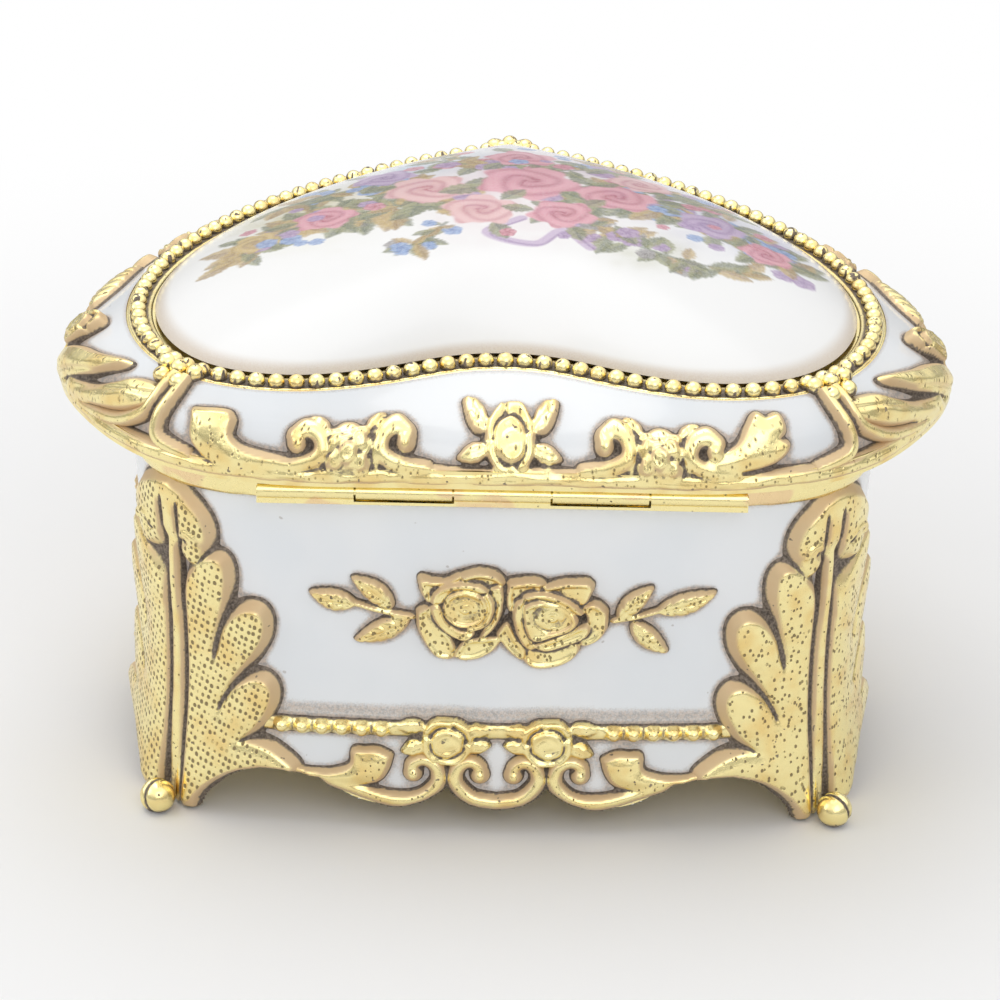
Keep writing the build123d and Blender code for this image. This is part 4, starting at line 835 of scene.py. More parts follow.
GOLD_LIGHT = (0.98, 0.85, 0.42)
GOLD_DEEP = (0.90, 0.68, 0.28)
# The slope colour is a painted tan reflection for the sloping sides of the relief.
GOLD_SLOPE_REFLECTION = (0.62, 0.44, 0.28)
GOLD_PIT = (0.17, 0.12, 0.055)
PATINA = (0.105, 0.085, 0.068)
PATINA_LIGHT = (0.26, 0.21, 0.165)


def cast_gold(name, layered):
    """Gold plate over cast metal, with patina in the hollows and pits that the mesh marks, painted
    reflection on the slopes and painted shade on the lower sides of beads and feet.
    """
    made, tree, bsdf = shader(name, GOLD_LIGHT, 1.0, 0.3)
    fine = speck(tree, 2.4, 4.0, 0.65)
    broad = speck(tree, 0.22, 2.0)
    gold = mix(tree, ramp(tree, broad, 0.4, 0.75), GOLD_LIGHT, GOLD_DEEP)
    spots = ramp(tree, speck(tree, 1.1, 1.0), 0.735, 0.76)
    if layered:
        hollow = add_node(tree, "ShaderNodeAttribute", attribute_name="hollow").outputs["Fac"]
        pit = add_node(tree, "ShaderNodeAttribute", attribute_name="pit").outputs["Fac"]
        side = add_node(tree, "ShaderNodeAttribute", attribute_name="side").outputs["Fac"]
        # Painted reflection: the marked slopes take a tan colour.
        gold = mix(tree, times(tree, side, 0.8), gold, GOLD_SLOPE_REFLECTION)
        flat = add_node(tree, "ShaderNodeUVMap", uv_map="UVMap").outputs[0]
        turned = add_node(tree, "ShaderNodeMapping", {"Vector": flat, "Rotation": (0, 0, 0.32),
            "Scale": (128, 84, 1)}).outputs[0]
        rows = add_node(tree, "ShaderNodeTexVoronoi", {"Vector": turned, "Scale": 1.0,
            "Randomness": 0.3}).outputs["Distance"]
        loose = add_node(tree, "ShaderNodeTexVoronoi", {"Vector": turned, "Scale": 1.15,
            "Randomness": 1.0}).outputs["Distance"]
        patchy = ramp(tree, speck(tree, 0.3, 2.0), 0.28, 0.45)
        regular = times(tree, ramp(tree, rows, 0.36, 0.24), ramp(tree, pit, 0.75, 0.95))
        some = times(tree, ramp(tree, loose, 0.33, 0.22), ramp(tree, pit, 0.3, 0.55))
        few = times(tree, ramp(tree, loose, 0.21, 0.13), ramp(tree, pit, 0.02, 0.25))
        some = larger(tree, some, few)
        pits = larger(tree, regular, times(tree, some, ramp(tree, pit, 0.95, 0.75)))
        pits = times(tree, pits, times(tree, patchy, ramp(tree, side, 0.2, 0.6, 1.0, 0.0)))
        # Patina in the hollows, and painted shade where beads, feet and the bead ring's band are marked
        # darker below.
        patina_and_shade = plus(tree, hollow, times(tree, minus(tree, fine, 0.5), 0.7))
        patina_and_shade = ramp(tree, patina_and_shade, 0.26, 0.62)
        gold = mix(tree, times(tree, pits, 0.85), gold, GOLD_PIT)
        dark = larger(tree, patina_and_shade, times(tree, spots, 0.85))
        dull = larger(tree, larger(tree, dark, times(tree, pits, 0.8)), times(tree, side, 0.7))
    else:
        pits = spots
        dark = times(tree, spots, 0.75)
        dull = dark
    stain = mix(tree, ramp(tree, fine, 0.4, 0.62), PATINA, PATINA_LIGHT)
    tree.links.new(mix(tree, dark, gold, stain), bsdf.inputs["Base Color"])
    tree.links.new(ramp(tree, dull, 0.2, 0.9, 1.0, 0.2), bsdf.inputs["Metallic"])
    tree.links.new(ramp(tree, plus(tree, dull, times(tree, fine, 0.3)), 0.1, 1.1, 0.22, 0.62),
                   bsdf.inputs["Roughness"])
    relief = minus(tree, times(tree, fine, 0.22), pits)
    bump(tree, bsdf, relief, 0.14 if layered else 0.03, 0.9)
    return made


def polished_gold():
    """Smooth plate with painted reflections as paler and warmer patches, and dark specks."""
    made, tree, bsdf = shader("polished_gold", GOLD_LIGHT, 1.0, 0.2)
    # Painted reflection: the warm patches with sharp edges stand in for reflections on the band.
    patch = ramp(tree, speck(tree, 0.09, 2.0, 0.5), 0.50, 0.54)
    specks = ramp(tree, speck(tree, 1.25, 1.0), 0.70, 0.735)
    crowd = ramp(tree, speck(tree, 0.14, 1.0), 0.45, 0.62)
    spots = times(tree, specks, crowd)
    gold = mix(tree, patch, GOLD_LIGHT, (0.90, 0.68, 0.38))
    tree.links.new(mix(tree, spots, gold, PATINA), bsdf.inputs["Base Color"])
    tree.links.new(ramp(tree, speck(tree, 0.8, 3.0), 0.3, 0.7, 0.16, 0.32), bsdf.inputs["Roughness"])
    bump(tree, bsdf, speck(tree, 0.5, 2.0), 0.02)
    return made


def enamel():
    """White enamel, tan and grey where it thins against the cast relief; the halo also carries painted
    shade above the bead rail and under the rim band and the bead ring.
    """
    made, tree, bsdf = shader("case_enamel", (0.80, 0.83, 0.86), 0.0, 0.2, Coat_Weight=0.2,
        Coat_Roughness=0.08)
    halo = add_node(tree, "ShaderNodeAttribute", attribute_name="halo").outputs["Fac"]
    grain = speck(tree, 4.2, 4.0, 0.75)
    edge = ramp(tree, plus(tree, halo, times(tree, minus(tree, grain, 0.5), 0.7)), 0.2, 0.8)
    stain = mix(tree, ramp(tree, speck(tree, 1.9, 3.0, 0.7), 0.42, 0.6), (0.56, 0.45, 0.36),
        (0.34, 0.30, 0.27))
    white = mix(tree, ramp(tree, speck(tree, 0.06, 2.0), 0.35, 0.65), (0.80, 0.83, 0.86),
        (0.84, 0.86, 0.88))
    dust = ramp(tree, speck(tree, 0.75, 0.0), 0.86, 0.875)
    base = mix(tree, times(tree, dust, 0.45), mix(tree, times(tree, edge, 0.9), white, stain),
        (0.35, 0.30, 0.26))
    tree.links.new(base, bsdf.inputs["Base Color"])
    tree.links.new(ramp(tree, edge, 0.0, 1.0, 0.15, 0.5), bsdf.inputs["Roughness"])
    bump(tree, bsdf, plus(tree, speck(tree, 0.35, 2.0), times(tree, dust, 0.3)), 0.03)
    return made


def porcelain():
    made, tree, bsdf = shader("porcelain", (0.86, 0.86, 0.85), 0.0, 0.22, Coat_Weight=0.08,
        Coat_Roughness=0.06, Specular_IOR_Level=0.25)
    paint = add_node(tree, "ShaderNodeAttribute", attribute_name="paint").outputs["Color"]
    grain = speck(tree, 5.0, 2.0, 0.6)
    print_dots = mix(tree, ramp(tree, grain, 0.35, 0.65, 0.0, 0.2), paint, (0.88, 0.88, 0.87))
    tree.links.new(print_dots, bsdf.inputs["Base Color"])
    bump(tree, bsdf, speck(tree, 0.12, 2.0), 0.04)
    return made


def velvet():
    made, tree, bsdf = shader("velvet", (0.40, 0.055, 0.095), 0.0, 0.85, Sheen_Weight=0.9,
        Sheen_Roughness=0.35)
    bsdf.inputs["Sheen Tint"].default_value = (1.0, 0.75, 0.78, 1)
    pile = speck(tree, 9.0, 3.0, 0.7)
    brushed = ramp(tree, speck(tree, 0.16, 3.0), 0.35, 0.65)
    colour = mix(tree, brushed, (0.30, 0.035, 0.065), (0.47, 0.075, 0.12))
    tree.links.new(mix(tree, ramp(tree, pile, 0.3, 0.75), colour, (0.20, 0.02, 0.04)),
        bsdf.inputs["Base Color"])
    bump(tree, bsdf, plus(tree, pile, times(tree, brushed, 0.6)), 0.18)
    return made


def turned_metal(name, light, dark, rough):
    """Machined metal with fine turning lines, scratches and a little tarnish."""
    made, tree, bsdf = shader(name, light, 1.0, rough)
    stretched = add_node(tree, "ShaderNodeVectorMath", {0: place(tree, 1.0), 1: (0.3, 0.3, 4.0)},
        operation="MULTIPLY").outputs[0]
    lines = speck(tree, 3.0, 4.0, 0.6, stretched)
    tarnish = ramp(tree, speck(tree, 0.25, 4.0, 0.6), 0.45, 0.72)
    tree.links.new(mix(tree, tarnish, mix(tree, ramp(tree, lines, 0.3, 0.7), light, dark),
        tuple(c * 0.55 for c in dark)), bsdf.inputs["Base Color"])
    tree.links.new(ramp(tree, lines, 0.3, 0.7, rough * 0.7, rough * 1.5), bsdf.inputs["Roughness"])
    bump(tree, bsdf, lines, 0.03)
    return made


def board():
    made, tree, bsdf = shader("board", (0.20, 0.17, 0.15), 0.0, 0.85)
    fibre = speck(tree, 2.5, 5.0, 0.7)
    tree.links.new(mix(tree, ramp(tree, fibre, 0.35, 0.65), (0.24, 0.20, 0.17), (0.12, 0.10, 0.09)),
        bsdf.inputs["Base Color"])
    bump(tree, bsdf, fibre, 0.1)
    return made


def mirror():
    made, tree, bsdf = shader("mirror_glass", (0.90, 0.92, 0.93), 1.0, 0.03)
    haze = ramp(tree, speck(tree, 0.07, 3.0), 0.4, 0.75, 0.015, 0.07)
    tree.links.new(haze, bsdf.inputs["Roughness"])
    tree.links.new(mix(tree, ramp(tree, speck(tree, 0.9, 1.0), 0.74, 0.78), (0.90, 0.92, 0.93),
        (0.5, 0.5, 0.48)), bsdf.inputs["Base Color"])
    return made


gold_relief = cast_gold("gold_plate", True)
gold_plain = cast_gold("gold_plate_plain", False)
gold_bright = polished_gold()
white_enamel = enamel()
glaze = porcelain()
red_velvet = velvet()
brass = turned_metal("movement_brass", (0.83, 0.64, 0.29), (0.66, 0.46, 0.17), 0.26)
nickel = turned_metal("movement_steel", (0.72, 0.72, 0.74), (0.52, 0.52, 0.54), 0.28)
blued = turned_metal("spring_steel", (0.22, 0.26, 0.34), (0.12, 0.14, 0.20), 0.3)
finish_of = {
    "gold_plate": gold_plain, "polished_gold": gold_bright, "base_gold": gold_plain,
    "case_enamel": gold_plain, "porcelain": glaze, "velvet": red_velvet, "mirror_glass": mirror(),
    "board": board(), "movement_brass": brass, "movement_steel": nickel, "spring_steel": blued,
}
for part in frame["record"]["subparts"]:
    material_of(nodes[part["node"]], finish_of[part["material_slot"]])


# Case ornament
CELL = 0.24
corner_s = {"right": case_wall.at_angle(math.degrees(corner_angle)), "tip": case_wall.at_angle(90.0)}
corner_s["left"] = case_wall.length - corner_s["right"]
panel_middle = {"back": 0.0, "right": (corner_s["right"] + corner_s["tip"]) / 2,
    "left": (corner_s["tip"] + corner_s["left"]) / 2}
SHIFT = 0.6


def past(wall, s, at):
    """How far distances along a wall lie past a place, the shorter way round."""
    return (s - at + wall.length / 2) % wall.length - wall.length / 2


def cut_open(field, s, z):
    """Ends a relief at the open lower edge of the wall."""
    low = edge_at(s) - 0.15
    return np.where((z < low) & (low > 0.5), np.minimum(field, 0.9 - 3.0 * (low - z)), field)


def leg_field(corner, s, z):
    before = {"right": "back", "tip": "right", "left": "left"}[corner]
    after = {"right": "right", "tip": "left", "left": "back"}[corner]
    plan = case_wall.plan(s, z)
    first = panel_of(before)[2] - panel_x(before, plan)
    second = panel_of(after)[2] + panel_x(after, plan)
    d = s - corner_s[corner]
    e = np.where(d < 0, first, second) - SHIFT
    field = np.maximum(leg_leaf(e, z), spine(d, z))
    valley = 1.3 * np.exp(-((np.abs(d) - 1.4) / 0.34) ** 2) * smooth(51, 47, z)
    field = field - valley
    return cut_open(field, s, z)


def axes(middle, reach, low, high, cell):
    """Evenly spaced distances along a wall and heights, ready to broadcast."""
    s = middle + np.linspace(-reach, reach, int(2 * reach / cell))
    z = np.linspace(low, high, int((high - low) / cell))
    return s[:, None], z[None, :]


FOOT_RADIUS, FOOT_Z = 2.55, 2.3


def foot_ball(place):
    """A ball foot with a crease, flat where it stands."""
    u, v = np.meshgrid(np.linspace(0, 2 * math.pi, 49)[:-1], np.linspace(0, math.pi, 25), indexing="ij")
    way = np.stack([np.cos(u) * np.sin(v), np.sin(u) * np.sin(v), -np.cos(v)], -1)
    out = np.array([place[0], place[1] - CENTRE[1]]) / math.hypot(place[0], place[1] - CENTRE[1])
    side = way[..., 0] * -out[1] + way[..., 1] * out[0]
    crease = np.exp(-((side - 0.12 + 0.25 * way[..., 2]) / 0.13) ** 2)
    radius = FOOT_RADIUS - 0.42 * crease + 0.06 * noise(u * 3, v * 3, 0.5, 3)
    points = way * radius[..., None] + np.array([place[0], place[1], FOOT_Z])
    points[..., 2] = np.maximum(points[..., 2], 0.0)
    # Patina in the crease, and painted shade on the lower part of the ball near the floor.
    low = smooth(1.4, 0.2, points[..., 2])
    return points.reshape(-1, 3), grid_faces(48, 25, closed=True), np.maximum(crease, low * 0.8).ravel()


feet = {"right": (49.2, -48.3), "left": (-49.2, -48.3), "tip": (0.0, 47.1)}
leg_names = {"right": "leg_right", "left": "leg_left", "tip": "leg_front"}
for corner, node in leg_names.items():
    s, z = axes(corner_s[corner], 21.5, 0.5, 52.6, CELL)
    s2, z2 = np.broadcast_arrays(s, z)
    field = leg_field(corner, s2, z2)
    d = np.abs(s2 - corner_s[corner])
    pit = np.where(d < 1.7, 0.25, 1.0 if corner != "right" else 0.6)
    cast_piece(node + "_cast", case_wall, s, z, field, CELL, pit, "case", node, gold_relief)
    points, faces, hollow = foot_ball(feet[corner])
    foot = new_mesh("foot_" + corner, points, faces, {"hollow": hollow, "pit": np.zeros(len(points))},
        points[:, :2])
    fitted(foot, gold_relief, "case", node)

for name in panels:
    middle = panel_middle[name]
    half = panel_of(name)[2]
    reach = 40.0 if name == "back" else 47.0
    s, z = axes(middle, reach, 2.4, 13.2, CELL)
    x = panel_x(name, case_wall.plan(s, z))
    field = cut_open(apron(x, z + 0 * x, half), *np.broadcast_arrays(s, z))
    cast_piece("apron_" + name + "_cast", case_wall, s, z, field, CELL, 0.3, "case", "apron_" + name,
        gold_relief)
    s, z = axes(middle, reach, 9.6, 18.2, CELL)
    x = panel_x(name, case_wall.plan(s, z))
    cast_piece("bead_rail_" + name + "_cast", case_wall, s, z, rail(x, z + 0 * x, half), CELL, 0.0, "case",
        "bead_rail_" + name, gold_relief)
    s, z = axes(middle, 34.0, 25.2, 43.6, 0.17)
    x = panel_x(name, case_wall.plan(s, z))
    field = skirted(spray(x, z + 0 * x), 0.17, 2.4)
    cast_piece("spray_" + name + "_cast", case_wall, s, z, field, 0.17, 0.5, "case", "spray_" + name,
        gold_relief)

# Enamel skin of the case
SKIN_TURNS, SKIN_ROWS = 900, 122
s = np.linspace(0, case_wall.length, SKIN_TURNS, endpoint=False)[:, None]
z = np.linspace(2.0, 53.3, SKIN_ROWS)[None, :]
s2, z2 = np.broadcast_arrays(s, z)
cover = np.full(s2.shape, NONE)
for corner, at in corner_s.items():
    near = np.flatnonzero(np.abs(past(case_wall, s[:, 0], at)) < 22)
    rows = at + past(case_wall, s2[near], at)
    cover[near] = np.maximum(cover[near], leg_field(corner, rows, z2[near]))
for name in panels:
    middle, half = panel_middle[name], panel_of(name)[2]
    near = np.flatnonzero(np.abs(past(case_wall, s[:, 0], middle)) < 46)
    x = panel_x(name, case_wall.plan(s2[near], z2[near]))
    cover[near] = most(cover[near], apron(x, z2[near], half), rail(x, z2[near], half), spray(x, z2[near]))
covered = (cover > 0.05).astype(float)
halo = np.clip(1.9 * blur(covered, (1.9, 1.8)) + 0.4 * blur(covered, (4.8, 4.4)) - 0.1, 0, 1)
halo = halo * (0.62 + 0.38 * smooth(12.5, 15.5, z2))
# Painted shade in a band above the bead rail and in a strip under the rim band, laid into the halo.
over_rail = smooth(0.02, 0.2, blur((np.abs(z2 - RAIL_Z) < 1.5) * covered, (2, 6)))
shade_band = 0.62 * np.exp(-((z2 - 18.0) / 2.0) ** 2) * over_rail
halo = np.clip(np.maximum(halo, shade_band) + 0.55 * smooth(50.6, 51.9, z2), 0, 1)
inside = z2 > np.maximum(edge_at(s2) + 0.2, 2.2)
points = case_wall.point(s2, z2, np.where(inside, SKIN_LIFT, BURIED))
faces = grid_faces(SKIN_TURNS, SKIN_ROWS, keep=inside, closed=True)
skin = new_mesh("case_enamel_skin", points.reshape(-1, 3), faces, {"halo": halo.ravel()})
fitted(skin, white_enamel, "case")

# Polished band round the mouth of the case, set back behind the hinge
BAND = [(0.0, 51.75), (0.55, 51.75), (1.0, 51.95), (1.3, 52.5), (1.4, 53.5), (1.4, 54.9), (1.15, 55.3),
    (0.3, 55.4), (-1.2, 55.4)]
s = np.linspace(0, case_wall.length, SKIN_TURNS, endpoint=False)
plan = case_wall.plan(s, 52.0)
set_back = 1.0 - 0.65 * smooth(37.5, 35.5, np.abs(plan[:, 0])) * (plan[:, 1] < -40)
columns = [case_wall.point(s, np.full(SKIN_TURNS, z), out * (set_back if out > 0 else 1.0) + 0 * s)
           for out, z in BAND]
band = new_mesh("rim_band_gold", np.stack(columns, 1).reshape(-1, 3),
    grid_faces(SKIN_TURNS, len(BAND), closed=True))
fitted(band, gold_bright, "case", "rim_band")

# Lid ornament
steps = np.linspace(LID_LOW, LID_TOP, 400)
plan = lid_wall.plan(0.0, steps)
arc = np.concatenate([[0], np.cumsum(np.hypot(np.diff(steps), np.hypot(*np.diff(plan, axis=0).T)))])


def lid_axes(low, high, cell):
    """Heights between two limits, evenly spaced over the skirt's curve."""
    first, last = np.interp([low, high], steps, arc)
    return np.interp(np.linspace(first, last, int((last - first) / cell)), arc, steps)[None, :]


lid_corner = {"right": lid_wall.at_angle(-38.5), "tip": lid_wall.at_angle(90.0)}
lid_corner["left"] = lid_wall.length - lid_corner["right"]
lid_spans = {"back": (lid_corner["left"] - lid_wall.length, lid_corner["right"]),
    "right": (lid_corner["right"], lid_corner["tip"]), "left": (lid_corner["tip"], lid_corner["left"])}
for name, (start, end) in lid_spans.items():
    s = np.linspace(start, end, int((end - start) / CELL) + 1)[:, None]
    z = lid_axes(LID_LOW, LID_TOP - 0.3, CELL)
    s2, z2 = np.broadcast_arrays(s, z)
    x = panel_x(name, lid_wall.plan(s2, z2))
    field = lid_panel(name, x, z2, np.minimum(s2 - start, end - s2))
    cast_piece("lid_scrolls_" + name + "_cast", lid_wall, s, z, field, CELL, 0.4, "lid",
        "lid_scrolls_" + name, gold_relief)


def on_lid(angle, z):
    return lid_wall.point(lid_wall.at_angle(angle), z, 0.0)


def rib_paths(corner):
    """Paths of the two strands of a corner rib, by angle and height on the skirt."""
    if corner == "tip":
        row = [(1.2, 66.8, 0.7, 1.5), (1.4, 63.0, 0.75, 1.7), (2.6, 58.8, 0.8, 1.8), (6.0, 58.2, 0.5, 1.4)]
        return [[(*on_lid(90 + side * a, z), w, h) for a, z, w, h in row] for side in (-1, 1)]
    rows = [
        [(-38.9, 66.8, 0.9, 1.6), (-38.9, 64.6, 0.95, 1.9), (-38.4, 61.5, 1.05, 2.1),
            (-39.2, 59.2, 1.15, 2.1), (-43.5, 58.0, 0.9, 1.7)],
        [(-37.0, 66.8, 0.85, 1.6), (-36.8, 65.2, 0.9, 1.9), (-36.6, 63.4, 0.9, 2.0),
            (-35.6, 61.5, 0.95, 2.0), (-31.5, 59.3, 1.0, 2.0), (-25.0, 57.9, 0.95, 1.9),
            (-18.5, 57.1, 0.6, 1.6)],
    ]
    turned = lambda a: a if corner == "right" else 180 - a
    return [[(*on_lid(turned(a), z), w, h) for a, z, w, h in row] for row in rows]


BEAD_SEED = 4


def balls_mesh(places, radius, squash=0.95):
    """Round beads at points, each a little different, flattened towards the base."""
    u, v = np.meshgrid(np.linspace(0, 2 * math.pi, 19)[:-1], np.linspace(0, math.pi, 13), indexing="ij")
    way = np.stack([np.cos(u) * np.sin(v), np.sin(u) * np.sin(v), -np.cos(v) * squash], -1).reshape(-1, 3)
    quads = grid_faces(18, 13, closed=True)
    draw = np.random.default_rng(BEAD_SEED)
    points, faces, hollow = [], [], []
    for k, place in enumerate(places):
        size = radius * (1 + 0.05 * (draw.random() - 0.5))
        points.append(way * size + place)
        faces.append(quads + k * len(way))
        patch = noise(way[:, 0] * 3 + 2.7 * k, way[:, 1] * 3 + 1.9 * k, 1.1, 21)
        # The hollow mark is painted shade on the lower half of each bead, with random patches of patina.
        hollow.append(np.maximum(smooth(0.25, -0.55, way[:, 2] + 0.5 * (patch - 0.5)),
            0.8 * smooth(0.72, 0.86, patch)))
    return np.vstack(points), np.vstack(faces), np.concatenate(hollow)


ring_mid = lambda s, lift, out: ring_wall.point(s, RING_Z, RING_MID + out) + np.array([0, 0, lift])
rib_names = {"right": "lid_rib_right", "left": "lid_rib_left", "tip": "lid_rib_front"}
ring_corner = {"right": ring_wall.at_angle(-36.5), "tip": ring_wall.at_angle(90.0)}
ring_corner["left"] = ring_wall.length - ring_corner["right"]
for corner, node in rib_names.items():
    middle = lid_wall.at_angle({"right": -32.0, "tip": 90.0, "left": 212.0}[corner])
    s = np.linspace(middle - 18, middle + 18, int(36 / CELL))[:, None]
    z = lid_axes(LID_LOW + 0.25, LID_TOP, CELL)
    s2, z2 = np.broadcast_arrays(s, z)
    on_skirt = lid_wall.point(s2, z2, np.zeros(s2.shape))
    field = most(*[stroke3(on_skirt, path) for path in rib_paths(corner)])
    cast_piece(node + "_cast", lid_wall, s, z, field, CELL, 0.2, "lid", node, gold_relief)
    at = ring_corner[corner]
    rows = [(-2.9, 1.3, 0.0), (0.0, 1.5, 0.1), (2.9, 1.3, 0.0), (-1.5, 3.3, -0.9), (1.5, 3.3, -0.9)]
    places = [ring_mid(at + a, rise, out) for a, out, rise in rows]
    points, faces, hollow = balls_mesh(places, 1.35)
    cluster = new_mesh(node + "_beads", points, faces, {"hollow": hollow, "pit": np.zeros(len(points))},
        points[:, :2])
    fitted(cluster, gold_relief, "lid", node)

# Bead ring: a rounded band with beads along it
BEAD_PITCH = 2.75
BAND_TURNS = 1000
band_s = np.linspace(0, ring_wall.length, BAND_TURNS, endpoint=False)
centre_line = ring_mid(band_s, 0.0, np.zeros(BAND_TURNS))
stretches = np.linalg.norm(np.roll(centre_line, -1, axis=0) - centre_line, axis=1)
travel = np.concatenate([[0], np.cumsum(stretches)])
count = int(travel[-1] / BEAD_PITCH)
s = np.interp(np.arange(count) * travel[-1] / count, travel, np.append(band_s, ring_wall.length))
points, faces, hollow = balls_mesh([ring_mid(a, 0.05, 0.15) for a in s], 1.2, 1.0)
profile = [(-2.0, -1.3), (-1.95, -0.5), (-1.6, -0.15), (-1.2, -0.3), (0.0, -0.45), (1.1, -0.45),
    (1.45, -0.35), (1.75, -0.6), (1.85, -1.3)]
band = np.stack([ring_mid(band_s, lift, np.full(BAND_TURNS, out)) for out, lift in profile], 1)
# Painted shade by profile row: darker on the lower rows and under the beads, lighter on the two ridges.
band_row_shade = np.tile([0.7, 0.5, 0.25, 0.6, 0.7, 0.7, 0.3, 0.6, 0.9], (BAND_TURNS, 1)).ravel()
band_faces = grid_faces(BAND_TURNS, len(profile), closed=True)
points = np.vstack([points, band.reshape(-1, 3)])
faces = np.vstack([faces, band_faces[:, ::-1] + len(hollow)])
hollow = np.concatenate([hollow, band_row_shade])
beads = new_mesh("bead_ring_cast", points, faces, {"hollow": hollow, "pit": np.zeros(len(points))},
    points[:, :2])
fitted(beads, gold_relief, "lid", "bead_ring")

# Enamel skin of the lid
LID_TURNS = 950
s = np.linspace(0, lid_wall.length, LID_TURNS, endpoint=False)[:, None]
z = lid_axes(58.3, 66.93, 0.38)
s2, z2 = np.broadcast_arrays(s, z)
cover = np.full(s2.shape, NONE)
for name, (start, end) in lid_spans.items():
    middle = (start + end) / 2
    rows = middle + past(lid_wall, s[:, 0], middle)
    near = np.flatnonzero((rows >= start) & (rows <= end))
    x = panel_x(name, lid_wall.plan(s2[near], z2[near]))
    ends = np.minimum(rows[near] - start, end - rows[near])[:, None]
    cover[near] = np.maximum(cover[near], lid_panel(name, x, z2[near], ends))
on_skirt = lid_wall.point(s2, z2, np.zeros(s2.shape))
for corner in rib_names:
    cover = np.maximum(cover, most(*[stroke3(on_skirt, path) for path in rib_paths(corner)]))
covered = (cover > 0.05).astype(float)
# The halo round the relief, with painted shade in a strip under the bead ring at the top of the skirt.
halo = np.clip(1.8 * blur(covered, (2.1, 2.1)) + 0.3 * blur(covered, (5, 5)) - 0.08
    + 0.6 * smooth(66.2, 66.93, z2), 0, 1)
points = lid_wall.point(s2, z2, np.full(s2.shape, SKIN_LIFT))
skin = new_mesh("lid_enamel_skin", points.reshape(-1, 3), grid_faces(LID_TURNS, z.shape[1], closed=True),
    {"halo": halo.ravel()})
fitted(skin, white_enamel, "lid")

# Porcelain plaque with a painted garden of flowers
PLAQUE_IN = 2.35
PLAQUE_BASE = 67.6
RISE = 10.2
TURNS, RINGS = 760, 130
dome_middle = np.array([0.0, -0.5])
edge = ring_wall.point(np.linspace(0, ring_wall.length, TURNS, endpoint=False), RING_Z,
    np.full(TURNS, RING_MID - PLAQUE_IN))[:, :2]
share = np.linspace(0, 1, RINGS) ** 0.92
eased = [blur_loop(edge, 1 + 55 * (1 - part)) * (1 - part ** 6) + edge * part ** 6 for part in share]
plan = dome_middle + (np.stack(eased, 1) - dome_middle) * share[None, :, None]
height = PLAQUE_BASE + RISE * (1 - share ** 2.35) ** 0.8
points = np.concatenate([plan, np.broadcast_to(height[None, :, None], (TURNS, RINGS, 1))], -1)


def laid_on(paint, veil, tone, hue, dark):
    """A colour between a hue and its dark, laid over the paint as far as the veil covers."""
    tone, veil = tone[..., None], veil[..., None]
    return paint * (1 - veil) + (np.array(hue) * (1 - tone) + np.array(dark) * tone) * veil


def flower_paint(paint, x, y, place, size, hue, dark, petals=5, turn=0.0):
    """A soft round flower with overlapping petals and a shaded heart."""
    r = np.hypot(x - place[0], y - place[1]) / size
    a = np.arctan2(y - place[1], x - place[0]) + turn
    rim = 0.86 + 0.14 * np.abs(np.cos(a * petals / 2))
    inside = np.clip((rim - r) / 0.10, 0, 1)
    shade = 0.5 + 0.5 * np.cos(a * petals + 5 * r)
    tone = np.clip(0.15 + 0.5 * shade * (0.4 + r) + 0.55 * np.exp(-(r / 0.28) ** 2), 0, 1)
    return laid_on(paint, inside * 0.9, tone, hue, dark)


def rose_paint(paint, x, y, place, size, hue, dark, turn=0.0):
    """A full rose seen from above, drawn as wound petals."""
    r = np.hypot(x - place[0], y - place[1]) / size
    a = np.arctan2(y - place[1], x - place[0]) + turn
    rim = 0.9 + 0.10 * np.cos(a * 5) + 0.04 * np.cos(a * 11 + 1)
    inside = np.clip((rim - r) / 0.08, 0, 1)
    wound = 0.5 + 0.5 * np.cos(2 * math.pi * (2.7 * r ** 0.8 - a * 2 / (2 * math.pi)) + 0.8 * np.sin(3 * a))
    tone = np.clip(0.05 + 0.55 * wound ** 2 + 0.45 * np.exp(-(r / 0.35) ** 2) - 0.15 * r, 0, 1)
    return laid_on(paint, inside * 0.95, tone, hue, dark)


def leaf_paint(paint, x, y, place, turn, long, wide, hue, dark):
    c, s = math.cos(turn), math.sin(turn)
    u = ((x - place[0]) * c + (y - place[1]) * s) / long
    v = (-(x - place[0]) * s + (y - place[1]) * c) / wide
    half = np.sin(math.pi * np.clip(u, 0, 1)) ** 0.8 * (1 + 0.08 * np.cos(u * 40))
    inside = np.clip((half - np.abs(v)) / 0.22, 0, 1) * (u > 0) * (u < 1)
    tone = np.clip(0.35 + 0.4 * (v > 0) + 0.6 * np.exp(-(v / 0.1) ** 2)
        + 0.15 * np.cos(26 * (u - 0.3 * np.abs(v))), 0, 1)
    return laid_on(paint, inside * 0.85, tone, hue, dark)


def stem_paint(paint, x, y, points, wide, colour, strength=0.8):
    rows = spline(points, 8)
    near = np.full(x.shape, 99.0)
    for a, b in zip(rows[:-1], rows[1:]):
        line = b - a
        t = np.clip(((x - a[0]) * line[0] + (y - a[1]) * line[1]) / max(line @ line, 1e-9), 0, 1)
        near = np.minimum(near, np.hypot(x - a[0] - t * line[0], y - a[1] - t * line[1]))
    veil = (np.clip((wide - near) / 0.3, 0, 1) * strength)[..., None]
    return paint * (1 - veil) + np.array(colour) * veil


ROSE_PINK, ROSE_DEEP = (0.74, 0.34, 0.41), (0.40, 0.07, 0.13)
MAUVE, MAUVE_DEEP = (0.52, 0.38, 0.58), (0.24, 0.13, 0.33)
SKY, SKY_DEEP = (0.36, 0.50, 0.74), (0.10, 0.17, 0.45)
OLIVE, OLIVE_DEEP = (0.36, 0.36, 0.17), (0.12, 0.14, 0.08)
OCHRE, OCHRE_DEEP = (0.62, 0.46, 0.18), (0.32, 0.20, 0.08)
GREY, GREY_DEEP = (0.40, 0.37, 0.37), (0.17, 0.155, 0.16)
CREAM = (0.885, 0.885, 0.88)


